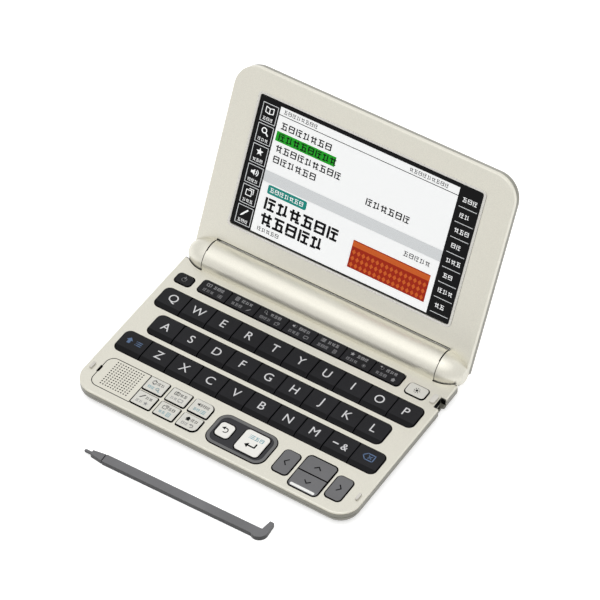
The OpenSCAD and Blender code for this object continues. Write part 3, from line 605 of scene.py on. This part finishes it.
CELLS = (
    ((0, 0.4, 0.8, 0.12), (0, 0.06, 0.5, 0.12), (0, -0.4, 0.86, 0.12),
     (-0.14, 0, 0.12, 0.9), (0.3, -0.16, 0.12, 0.5)),
    ((-0.34, 0, 0.14, 0.9), (0.14, 0.4, 0.56, 0.12), (0.14, 0.12, 0.56, 0.12),
     (0.14, -0.4, 0.56, 0.12), (0.14, -0.1, 0.12, 0.6)),
    ((0, 0.22, 0.88, 0.12), (-0.2, 0, 0.12, 0.88), (0.22, 0.12, 0.12, 0.66),
     (0.1, -0.2, 0.5, 0.12), (0.3, -0.4, 0.3, 0.12)),
    ((0, 0.4, 0.8, 0.12), (0.36, 0, 0.14, 0.86), (-0.36, 0.1, 0.14, 0.66),
     (0, 0.06, 0.6, 0.12), (-0.06, -0.38, 0.66, 0.12)),
    ((-0.2, 0.3, 0.44, 0.12), (-0.2, 0, 0.12, 0.84), (-0.2, -0.38, 0.4, 0.12),
     (0.26, 0.1, 0.12, 0.7), (0.26, -0.3, 0.34, 0.12)),
)


def cells(x, y, size, count, start=0, bold=0.0):
    """A run of bar signs, the first of them centred on x and y."""
    shapes = []
    for i in range(count):
        for dx, dy, w, h in CELLS[(start + 3 * i) % len(CELLS)]:
            middle = x + (1.1 * i + dx) * size
            shapes.append(rect(middle, y + dy * size, w * size + bold, h * size + bold))
    return shapes


# Pictograms, about one unit high


def book():
    shapes = []
    for side in (-1, 1):
        shapes += stroke([(0, -0.36), (side * 0.46, -0.26), (side * 0.46, 0.34), (0, 0.24)], 0.1)
    return shapes + stroke([(0, -0.36), (0, 0.24)], 0.1)


def lens():
    return arc(-0.08, 0.1, 0.28, 0, 360, 0.11) + stroke([(0.14, -0.12), (0.4, -0.38)], 0.15)


def rows():
    shapes = []
    for y in (-0.3, 0, 0.3):
        shapes += [disc(-0.42, y, 0.07, 10), rect(0.1, y, 0.7, 0.12)]
    return shapes


def page():
    shapes = frame_line(0, 0, 0.62, 0.84, 0.09)
    for y in (-0.2, 0, 0.2):
        shapes.append(rect(0, y, 0.36, 0.08))
    return shapes


def sound():
    body = [[(-0.45, -0.14), (-0.25, -0.14), (0, -0.36), (0, 0.36), (-0.25, 0.14), (-0.45, 0.14)]]
    return body + arc(0, 0, 0.22, -50, 50, 0.09) + arc(0, 0, 0.42, -50, 50, 0.09)


def pen():
    return stroke([(-0.3, -0.3), (0.3, 0.34)], 0.18) + stroke([(-0.42, -0.42), (-0.3, -0.3)], 0.08)


def turn_back():
    shapes = arc(0.05, 0, 0.3, -110, 130, 0.11)
    return shapes + [[(-0.5, 0.2), (-0.1, 0.48), (-0.06, 0.04)]]


def sun():
    shapes = [disc(0, 0, 0.17)]
    for i in range(8):
        a = math.pi * i / 4
        ray = [(r * math.cos(a), r * math.sin(a)) for r in (0.28, 0.42)]
        shapes += stroke(ray, 0.08)
    return shapes


def power():
    return arc(0, -0.04, 0.34, 125, 415, 0.11) + stroke([(0, 0.08), (0, 0.46)], 0.11)


def home():
    return [[(-0.48, 0), (0, 0.44), (0.48, 0)], rect(0, -0.2, 0.62, 0.42)]


def bubble():
    return frame_line(0, 0.08, 0.86, 0.56, 0.1) + [[(-0.2, -0.2), (0.1, -0.2), (-0.2, -0.46)]]


def star():
    points = []
    for i in range(10):
        r = 0.46 if i % 2 == 0 else 0.19
        a = math.radians(90 + 36 * i)
        points.append((r * math.cos(a), r * math.sin(a)))
    return [points]


def cards():
    behind = stroke([(-0.1, 0.42), (0.42, 0.42), (0.42, -0.1)], 0.09)
    return frame_line(-0.1, -0.08, 0.66, 0.6, 0.09) + behind


def camera_sign():
    body = frame_line(0, -0.04, 0.84, 0.56, 0.1)
    return body + arc(0, -0.04, 0.14, 0, 360, 0.08) + [rect(0, 0.32, 0.3, 0.12)]


def chevron(angle):
    a = math.radians(angle)
    tip = (0.22 * math.cos(a), 0.22 * math.sin(a))
    ends = []
    for turn in (2.3, -2.3):
        ends.append((tip[0] + 0.5 * math.cos(a + turn), tip[1] + 0.5 * math.sin(a + turn)))
    return stroke([ends[0], tip, ends[1]], 0.13)


def up_down():
    shapes = []
    for side in (1, -1):
        shapes += stroke([(-0.35, side * 0.12), (0, side * 0.42), (0.35, side * 0.12)], 0.14)
    return shapes


def shift_arrow():
    return [[(-0.46, 0.02), (0, 0.5), (0.46, 0.02)], rect(0, -0.22, 0.42, 0.5)]


def erase():
    outline = [(-0.5, 0), (-0.2, 0.32), (0.5, 0.32), (0.5, -0.32), (-0.2, -0.32), (-0.5, 0)]
    cross = stroke([(0, 0.13), (0.28, -0.13)], 0.1) + stroke([(0, -0.13), (0.28, 0.13)], 0.1)
    return stroke(outline, 0.09) + cross


def enter_arrow():
    line = stroke([(0.42, 0.32), (0.42, -0.06), (-0.28, -0.06)], 0.14)
    return line + [[(-0.52, -0.06), (-0.18, 0.2), (-0.18, -0.32)]]


# Keys

KEY_EDGE = 0.22
WIDE_KEY_EDGE = 0.3
LETTER_SIZE = 6.4
LETTER_UP = 0.6
FUNCTION_PITCH = 15.65
FUNCTION_UPPER = (book, page, lens, sound, rows, star, turn_back)
FUNCTION_LOWER = (rows, pen, cards, bubble, page, sun, home)
SHORTCUT_SIGNS = ((up_down, lens), (camera_sign, bubble), (sound, rows), (pen, star), (cards, page),
                  (home, turn_back))
ROCKER_STRIP = (12.6, 1.3, 0.6)
ROCKER_STRIP_IN = 1.0
ROCKER_STRIP_DOWN = 0.8
ROCKER_STRIP_THICK = 0.06
ROCKER_FOOT = 0.15


def letter_legends():
    for node in LETTER_KEYS:
        plane = top_plane(node, 0, LETTER_UP)
        letter_on(node + "_legend", node[-1].upper(), LETTER_SIZE, plane, ink_white, body_of_node[node])


def special_legends():
    shift = scaled(shift_arrow(), 3.6, -2.4) + scaled(rows(), 3.4, 2.6)
    print_key("key_shift", "key_shift_legend", shift, ink_blue, 0.9)
    print_key("key_delete", "key_delete_legend", scaled(erase(), 5.6, 0, 0.2), ink_blue, 0.9)
    print_key("key_dash", "key_dash_legend", [rect(-2.6, 0, 3, 0.65)], ink_white, 0.2)
    letter_on("key_dash_and", "&", 5.2, top_plane("key_dash", 2.2, 0.1), ink_white,
              body_of_node["key_dash"], 0.03)


def function_legends():
    """A sign and three bar signs in two rows on each key of the strip."""
    upper, lower = [], []
    for i, (first, second) in enumerate(zip(FUNCTION_UPPER, FUNCTION_LOWER)):
        x = (i - 3) * FUNCTION_PITCH
        upper += scaled(first(), 2.5, x - 3.9, 1.5) + cells(x - 0.6, 1.5, 1.8, 3, i)
        lower += scaled(second(), 2.4, x + 4, -1.8) + cells(x - 4.4, -1.8, 1.8, 3, i + 1)
    print_key("function_keys", "function_legends_upper", upper, ink_soft)
    print_key("function_keys", "function_legends_lower", lower, ink_grey)


def corner_legends():
    print_key("power_key", "power_legend", scaled(power(), 3.4), ink_soft)
    print_key("backlight_key", "backlight_legend", scaled(sun(), 3.6), ink_black)


def shortcut_legends():
    """A dark row above and a teal or grey one below on each silver key."""
    for i, (first, second) in enumerate(SHORTCUT_SIGNS, 1):
        node = f"shortcut_key_{i}"
        upper = scaled(first(), 2.8, -1.7, 1.4) + cells(0.7, 1.4, 1.7, 2, i)
        lower = scaled(second(), 2.6, 1.8, -1.7) + cells(-2.6, -1.7, 1.6, 2, i + 2)
        print_key(node, node + "_legend", upper, ink_black)
        print_key(node, node + "_second_legend", lower, ink_teal if i % 2 else ink_grey)


def confirm_legends():
    print_key("back_key", "back_legend", scaled(turn_back(), 4.2), ink_black)
    print_key("enter_key", "enter_legend", scaled(enter_arrow(), 5.6, 0, -1.6), ink_black)
    second = scaled(rows(), 2.8, -1.8, 2.9) + cells(0.8, 2.9, 2.2, 2)
    print_key("enter_key", "enter_second_legend", second, ink_teal)


def arrow_legends():
    print_key("arrow_key_left", "arrow_left_legend", scaled(chevron(180), 4.4), ink_black)
    print_key("arrow_key_right", "arrow_right_legend", scaled(chevron(0), 4.4), ink_black)
    both = scaled(chevron(90), 4, 0, 4.4) + scaled(chevron(-90), 4, 0, -4.4)
    print_key("arrow_key_up_down", "arrow_up_down_legend", both, ink_black)


def rocker_painted_highlight():
    """A painted highlight: a bright strip on the front slope of the rocker."""
    node = "arrow_key_up_down"
    low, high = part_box(node)
    half = (high[1] - low[1]) / 2
    drop = high[2] - hinge.z + ROCKER_FOOT * MM
    x = (low[0] + high[0]) / 2
    place = (x, low[1] + ROCKER_STRIP_IN * MM, high[2] - drop * ROCKER_STRIP_DOWN)
    plane = Matrix.Translation(place) @ Matrix.Rotation(math.atan2(2 * drop, half), 4, "X")
    strip = [round_rect(0, 0, *ROCKER_STRIP)]
    print_on("arrow_up_down_painted_highlight", strip, plane, arrow_painted_highlight, body_of_node[node], ROCKER_STRIP_THICK)


def dress_keys():
    # The charcoal keys' front slopes and sides take painted shade
    for node in CHARCOAL_KEYS:
        dress(node, (charcoal, charcoal_slope_shade), KEY_EDGE, 2, sloped_or_upright)
    # The other keys' upright walls take painted shade, for the dark gaps round them
    for node in SILVER_KEYS:
        dress(node, (silver_key, painted_shade_black), KEY_EDGE, 3, upright)
    for node in WHITE_KEYS:
        dress(node, (white_plastic, painted_shade_black), WIDE_KEY_EDGE, 3, upright)
    for node in ARROW_KEYS:
        dress(node, (arrow_grey, painted_shade_black), WIDE_KEY_EDGE, 3, upright)
    letter_legends()
    special_legends()
    function_legends()
    corner_legends()
    shortcut_legends()
    confirm_legends()
    arrow_legends()
    rocker_painted_highlight()


# Case: places in millimetres from the hinge axis

PAD_SPLIT = 5
ISLAND_OUTER = (30.6, 17.6, 4.8)
ISLAND_INNER = (27.8, 14.8, 3.6)
ISLAND_RISE = 0.1
ISLAND_SINK = -0.3
STYLUS_PLACE = (-49.5, -120.4, -6.6)
STYLUS_TURN = 1.4
STYLUS_RING = (10.45, 0, 0.5, 3.6)
BAY_HEIGHT = 3.4
BAY_CORNER = 0.9
BAY_WALLS = (
    ("inner", Vector((0, 1, 0)), (71.3, -18.8, -2.1), 5.8),
    ("rear", Vector((1, 0, 0)), (72.6, -15.8, -2.1), 2.4),
)
CASE_EDGE = 0.1
PAD_EDGE = 0.2
ISLAND_EDGE = 0.08
STYLUS_EDGE = 0.3
INNER_FINISHES = {
    "battery_cells": cell_wrap,
    "battery_contacts": steel,
    "main_board": board_green,
    "key_mat": mat_rubber,
    "speaker": speaker_cloth,
    "screws": steel,
    "hinge_pins": steel,
}


def split_pads():
    """The feet are dark rubber, and the pads on the deck are pale and clear."""
    for name, material, above in (("base_feet", foot_rubber, False), ("deck_pads", pad_rubber, True)):
        mesh = joined_mesh("rubber_pads")
        others = [vert for vert in mesh.verts if (vert.co.z > PAD_SPLIT * MM) != above]
        bmesh.ops.delete(mesh, geom=others, context="VERTS")
        soften(mesh, sharp_edges(mesh), PAD_EDGE)
        piece = finish_mesh(mesh, name, [material], "base")
        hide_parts("rubber_pads")


def island_rim():
    """The dark raised frame round the two white keys, with painted shade on its upright walls."""
    outer = round_rect(0, 0, *ISLAND_OUTER, 8)
    inner = round_rect(0, 0, *ISLAND_INNER, 8)
    levels = ((outer, ISLAND_SINK), (outer, ISLAND_RISE), (inner, ISLAND_RISE), (inner, ISLAND_SINK))
    mesh = band_mesh(levels, closed=True)
    for face in mesh.faces:
        face.material_index = int(upright(face))
    upper = [edge for edge in sharp_edges(mesh) if all(vert.co.z > 0 for vert in edge.verts)]
    soften(mesh, upper, ISLAND_EDGE, clamp=False)
    mesh.transform(top_plane("key_island"))
    finish_mesh(mesh, "island_rim", (island_ring, painted_shade_black), "base")


def stylus_ring():
    """The dark line between the stylus's collar and its body."""
    turn = Matrix.Rotation(math.radians(STYLUS_TURN), 4, "Z")
    plane = Matrix.Translation(hinge + Vector(STYLUS_PLACE) * MM) @ turn
    print_on("stylus_ring", [rect(*STYLUS_RING)], plane, ink_black, "stylus")


def bay_mouth_shade():
    """Painted shade in the notch's hole, where the stylus goes in: dark sheets on its walls."""
    for name, across, place, width in BAY_WALLS:
        plane = Matrix.Translation(hinge + Vector(place) * MM) @ turned(across, UP)
        mouth = [round_rect(0, 0, width, BAY_HEIGHT, BAY_CORNER)]
        print_on("bay_mouth_shade_" + name, mouth, plane, painted_shade_black, "base")


def dress_case():
    # The deck takes painted shade on its opening walls, beside the end caps and on its outer wall
    dress("top_case", (paint, painted_shade_black, shell_shade_paint), CASE_EDGE, 2, top_case_finish)
    painted_shade_lines("top_case", top_case_finish)
    # The bottom case and battery door take the darker copy of the paint, painted shade
    dress("bottom_case", [shell_shade_paint], CASE_EDGE)
    dress("battery_door", [shell_shade_paint], CASE_EDGE)
    # Painted shade on the walls of the grille's holes and of the island's openings
    dress("speaker_grille", (paint, painted_shade_black), pick=upright)
    dress("key_island", (island_field, painted_shade_black), CASE_EDGE, 2, upright)
    painted_shade_lines("key_island", upright)
    island_rim()
    split_pads()
    # The stylus's upright sides take painted shade
    dress("stylus", (stylus_grey, stylus_side_shade), STYLUS_EDGE, 3, upright)
    stylus_ring()
    bay_mouth_shade()
    for node, material in INNER_FINISHES.items():
        coat_node(node, material)


# Lid and display: places in millimetres across and up the lid from the hinge, depths below the hinge

WINDOW_WIDTH = 118.2
WINDOW_HEIGHT = 65.8
WINDOW_LOW = 19.4
WINDOW_CORNER = 1.0
TRIM_DEPTH = 0.85
TRIM_WIDTH = 1.25
TRIM_CORNER = 2.2
TRIM_RISE = 0.17
TRIM_SINK = -0.3
GLASS_DEPTH = 1.35
SHADE_STRIP_SIZE = (126, 0.6, 1.0)
SHADE_STRIP_UP = 9.28
SHADE_STRIP_DEPTH = 1.65
SHADE_STRIP_EDGE = 0.08
TRIM_EDGE = 0.12
BEZEL_EDGE = 0.12
COVER_EDGE = 0.1
PANEL_EDGE = 0.08
LAYER_STEP = 0.012
LAYER_THICK = 0.01


def hinge_shade_strip():
    """A black strip of painted shade in the gap between the lid's lower edge and the barrel."""
    mesh = bmesh.new()
    bmesh.ops.create_cube(mesh, size=1)
    mesh.transform(Matrix.Diagonal((*(side * MM for side in SHADE_STRIP_SIZE), 1)))
    soften(mesh, mesh.edges[:], SHADE_STRIP_EDGE, clamp=False)
    mesh.transform(lid_plane(SHADE_STRIP_DEPTH) @ Matrix.Translation((0, SHADE_STRIP_UP * MM, 0)))
    finish_mesh(mesh, "hinge_shade_strip", [painted_shade_black], "lid")


def window_trim():
    """A bright lip round the display window: its lighter paint is partly a painted highlight."""
    middle = WINDOW_LOW + WINDOW_HEIGHT / 2
    width = WINDOW_WIDTH + 2 * TRIM_WIDTH
    height = WINDOW_HEIGHT + 2 * TRIM_WIDTH
    outer = round_rect(0, middle, width, height, TRIM_CORNER, 6)
    inner = round_rect(0, middle, WINDOW_WIDTH, WINDOW_HEIGHT, WINDOW_CORNER, 6)
    mesh = band_mesh(((outer, 0.0), (outer, TRIM_RISE), (inner, TRIM_RISE), (inner, TRIM_SINK)))
    soften(mesh, sharp_edges(mesh), TRIM_EDGE, clamp=False)
    mesh.transform(lid_plane(TRIM_DEPTH))
    finish_mesh(mesh, "window_trim", [trim_highlight_paint], "lid")


def picture(name, shapes, colour, layer):
    """A layer of the display's picture: a higher one lies above the others."""
    plane = lid_plane(GLASS_DEPTH - LAYER_STEP * layer)
    print_on("picture_" + name, shapes, plane, PICTURE[colour], "lid", LAYER_THICK)


# The picture's layout, in millimetres across and up the lid from the hinge

SIGNS_X = -53
SIGNS_TOP = 77.2
SIGNS_PITCH = 10.3
SIGN_FRAME = (8, 9, 0.32)
SIGN_SIZE = 4.4
MENU_X = 53.2
MENU_WORDS_X = 50.6
MENU_TOP = 78.3
MENU_PITCH = 7.5
MENU_LINE = (9.4, 0.3)
PAGE_X = -0.5
PAGE_Y = 51.6
PAGE_WIDTH = 95
PAGE_HEIGHT = 62.6
HEADER_LINE = (79.0, 0.35)
BAND = (48.6, 5.6)
LABEL = (-34, 43.0, 21, 4.4, 0.8)
HEADING_X = -41.6
HEADING_SIZE = 6.2
HEADING_BOLD = 0.42
TEXT_X = -44
ROW_SIZE = 3.6
ROW_BOLD = 0.1
ROWS = ((74.4, 7), (68.9, 8), (63.3, 9), (57.8, 6))
CHOSEN_ROW = (-31, 68.9, 32, 4.8)
BLOCK_X = 24
BLOCK_WIDTH = 41
BLOCK_FIELD = (31.2, 13.6)
BLOCK_STRIP = (36.2, 2.6)
TILE_COLUMNS = 16
TILE_ROWS = 3
TILE_FIRST = (5.2, 32.4)
TILE_STEP = (2.5, 3.1)
TILE_HALF = (1.0, 1.3)


def wide_bar(x, width, place):
    """A bar across, from its middle height and its own height."""
    y, height = place
    return rect(x, y, width, height)


def side_strip():
    """Touch signs down the left side, white on black."""
    frames, drawn = [], []
    for i, sign in enumerate((book, lens, star, sound, cards, pen)):
        y = SIGNS_TOP - i * SIGNS_PITCH
        frames += frame_line(SIGNS_X, y, *SIGN_FRAME)
        drawn += scaled(sign(), SIGN_SIZE, SIGNS_X, y + 1.4)
        drawn += cells(SIGNS_X - 2, y - 2.8, 1.7, 3, i)
    picture("left_frames", frames, "pale", 1)
    picture("left_signs", drawn, "white", 1)


def menu_strip():
    """Eight menu places down the right side, parted by white lines."""
    lines, words = [], []
    for i in range(8):
        y = MENU_TOP - i * MENU_PITCH
        lines.append(rect(MENU_X, y - 3.7, *MENU_LINE))
        words += cells(MENU_WORDS_X + 0.5 * (i % 2), y, 2.4, 3 - i % 2, i)
    picture("right_lines", lines, "pale", 1)
    picture("right_words", words, "white", 1)


def listed_rows():
    """Rows to choose from, one of them chosen."""
    picture("chosen_row", [rect(*CHOSEN_ROW)], "green", 2)
    drawn = []
    for i, (y, count) in enumerate(ROWS):
        drawn += cells(TEXT_X, y, ROW_SIZE, count, i, ROW_BOLD)
    last_y = ROWS[-1][0]
    drawn += cells(6, last_y, ROW_SIZE, 6, 1, ROW_BOLD)
    picture("rows", drawn, "ink", 3)


def tiled_block():
    """A red block with rows of orange tiles under a plain strip."""
    picture("block", [wide_bar(BLOCK_X, BLOCK_WIDTH, BLOCK_FIELD)], "red", 2)
    tiles = [wide_bar(BLOCK_X, BLOCK_WIDTH, BLOCK_STRIP)]
    half_x, half_y = TILE_HALF
    for i in range(TILE_COLUMNS):
        for k in range(TILE_ROWS):
            x = TILE_FIRST[0] + TILE_STEP[0] * i
            y = TILE_FIRST[1] - TILE_STEP[1] * k
            tiles.append([(x - half_x, y), (x, y - half_y), (x + half_x, y), (x, y + half_y)])
    picture("block_tiles", tiles, "orange", 3)


def main_picture():
    """The page between the strips: a header, listed rows, a band, a heading and a coloured block."""
    picture("ground", [rect(PAGE_X, PAGE_Y, PAGE_WIDTH, PAGE_HEIGHT)], "white", 1)
    picture("header", [wide_bar(PAGE_X, PAGE_WIDTH, HEADER_LINE)], "ink", 2)
    picture("header_words", cells(-45, 81, 2.1, 8) + cells(22, 81, 2.1, 9, 2), "ink", 2)
    listed_rows()
    picture("band", [wide_bar(PAGE_X, PAGE_WIDTH, BAND)], "pale", 2)
    picture("label", [round_rect(*LABEL)], "teal", 3)
    picture("label_words", cells(-42.2, LABEL[1], 2.4, 7), "white", 4)
    heading = cells(HEADING_X, 36, HEADING_SIZE, 6, 1, HEADING_BOLD)
    heading += cells(HEADING_X, 28.4, HEADING_SIZE, 5, 2, HEADING_BOLD)
    picture("heading", heading, "ink", 2)
    picture("notes", cells(30, 42.4, 2.6, 5) + cells(TEXT_X, 23, 2.2, 5, 1), "ink", 3)
    tiled_block()


def dress_lid():
    dress("lid_bezel", (paint, painted_shade_black), BEZEL_EDGE, 2, bezel_finish)
    dress("lid_back_cover", (paint, shell_shade_paint), COVER_EDGE, 2, back_cover_finish)
    dress("display_panel", [panel_black], PANEL_EDGE)
    hinge_shade_strip()
    window_trim()
    side_strip()
    menu_strip()
    main_picture()


# Floor, light and camera, in metres

WHITE = (1, 1, 1, 1)
FLOOR_LIT = (0.16, 0.16, 0.16, 1)
FLOOR_SEEN = (0.85, 0.85, 0.85, 1)
FLOOR_GLOW = 0.5
FLOOR_SIZE = 6
FLOOR_DROP = 0.00002
HORIZON = (0.06, 0.06, 0.06)
ZENITH = (1, 1, 1)
ZENITH_FROM = 0.75
LAMPS = (
    # name, place, what it is aimed at, width, depth, power
    ("overhead", (-0.05, -0.4, 1.3), (0, 0.02, 0.0), 1.8, 1.4, 4.0),
    ("front", (-0.2, -0.75, 0.9), (0, 0.03, 0.04), 0.8, 0.8, 0.6),
    ("spark", (-0.05, -0.25, 1.0), (0, 0.03, 0.04), 0.2, 0.2, 0.2),
    ("behind", (0.3, 1.1, 0.8), (0, 0.05, 0.05), 0.9, 0.9, 1.6),
)
CAMERA_FROM_HINGE = Vector((0.6320005, -0.9196213, 1.2455702))
CAMERA_RIGHT = Vector((0.8334149, 0.5520881, -0.0248661))
CAMERA_UP = Vector((-0.3963491, 0.6284610, 0.6692863))
CAMERA_LENS = 220.55


def seen_directly(tree):
    """1 for rays from the camera, or seen in gloss or through glass, and 0 for the light that falls."""
    path = tree.nodes.new("ShaderNodeLightPath")
    total = path.outputs["Is Camera Ray"]
    for other in ("Is Glossy Ray", "Is Transmission Ray"):
        larger = tree.nodes.new("ShaderNodeMath")
        larger.operation = "MAXIMUM"
        link(tree, total, larger.inputs[0])
        link(tree, path.outputs[other], larger.inputs[1])
        total = larger.outputs["Value"]
    return total


def colour_mix(tree, factor):
    """A mix of two colours, A and B."""
    mix = tree.nodes.new("ShaderNodeMix")
    mix.data_type = "RGBA"
    link(tree, factor, mix.inputs["Factor"])
    return mix


def floor_material():
    """A white floor that throws little light back, with the object's shadow on it."""
    material, tree, shader = new_material("floor_white")
    seen = seen_directly(tree)
    tint = colour_mix(tree, seen)
    tint.inputs["A"].default_value = FLOOR_LIT
    tint.inputs["B"].default_value = FLOOR_SEEN
    link(tree, tint.outputs["Result"], shader.inputs["Base Color"])
    link(tree, span(tree, seen, 0.0, FLOOR_GLOW), shader.inputs["Emission Strength"])
    shader.inputs["Emission Color"].default_value = WHITE
    shader.inputs["Roughness"].default_value = 0.9
    shader.inputs["Specular IOR Level"].default_value = 0.0
    return material


def floor():
    mesh = bmesh.new()
    bmesh.ops.create_grid(mesh, x_segments=2, y_segments=2, size=FLOOR_SIZE)
    data = mesh_data(mesh, "floor")
    data.materials.append(floor_material())
    piece = linked_object("floor", data)
    piece.location.z = -FLOOR_DROP


def softbox(name, place, target, width, depth, power):
    light = bpy.data.lights.new(name, "AREA")
    light.shape = "RECTANGLE"
    light.size = width
    light.size_y = depth
    light.energy = power
    lamp = linked_object(name, light)
    lamp.location = place
    lamp.rotation_euler = (Vector(target) - Vector(place)).to_track_quat("-Z", "Y").to_euler()


def world_light():
    """A pale studio: brighter above than at the horizon, and white where it is seen."""
    world = bpy.data.worlds.new("studio")
    world.use_nodes = True
    tree = world.node_tree
    place = tree.nodes.new("ShaderNodeTexCoord")
    parts = tree.nodes.new("ShaderNodeSeparateXYZ")
    link(tree, place.outputs["Generated"], parts.inputs["Vector"])
    mix = colour_mix(tree, seen_directly(tree))
    link(tree, ramp(tree, parts.outputs["Z"], HORIZON, ZENITH, 0.0, ZENITH_FROM), mix.inputs["A"])
    mix.inputs["B"].default_value = WHITE
    link(tree, mix.outputs["Result"], tree.nodes["Background"].inputs["Color"])
    bpy.context.scene.world = world


def camera():
    """The camera stands where the photograph was taken from."""
    data = bpy.data.cameras.new("camera")
    data.sensor_width = 36
    data.lens = CAMERA_LENS
    data.clip_end = 20
    eye = linked_object("camera", data)
    eye.matrix_world = Matrix.Translation(hinge + CAMERA_FROM_HINGE) @ turned(CAMERA_RIGHT, CAMERA_UP)
    bpy.context.scene.camera = eye


dress_case()
dress_keys()
dress_lid()
floor()
world_light()
for lamp_values in LAMPS:
    softbox(*lamp_values)
camera()
bpy.context.scene.view_settings.view_transform = "Standard"
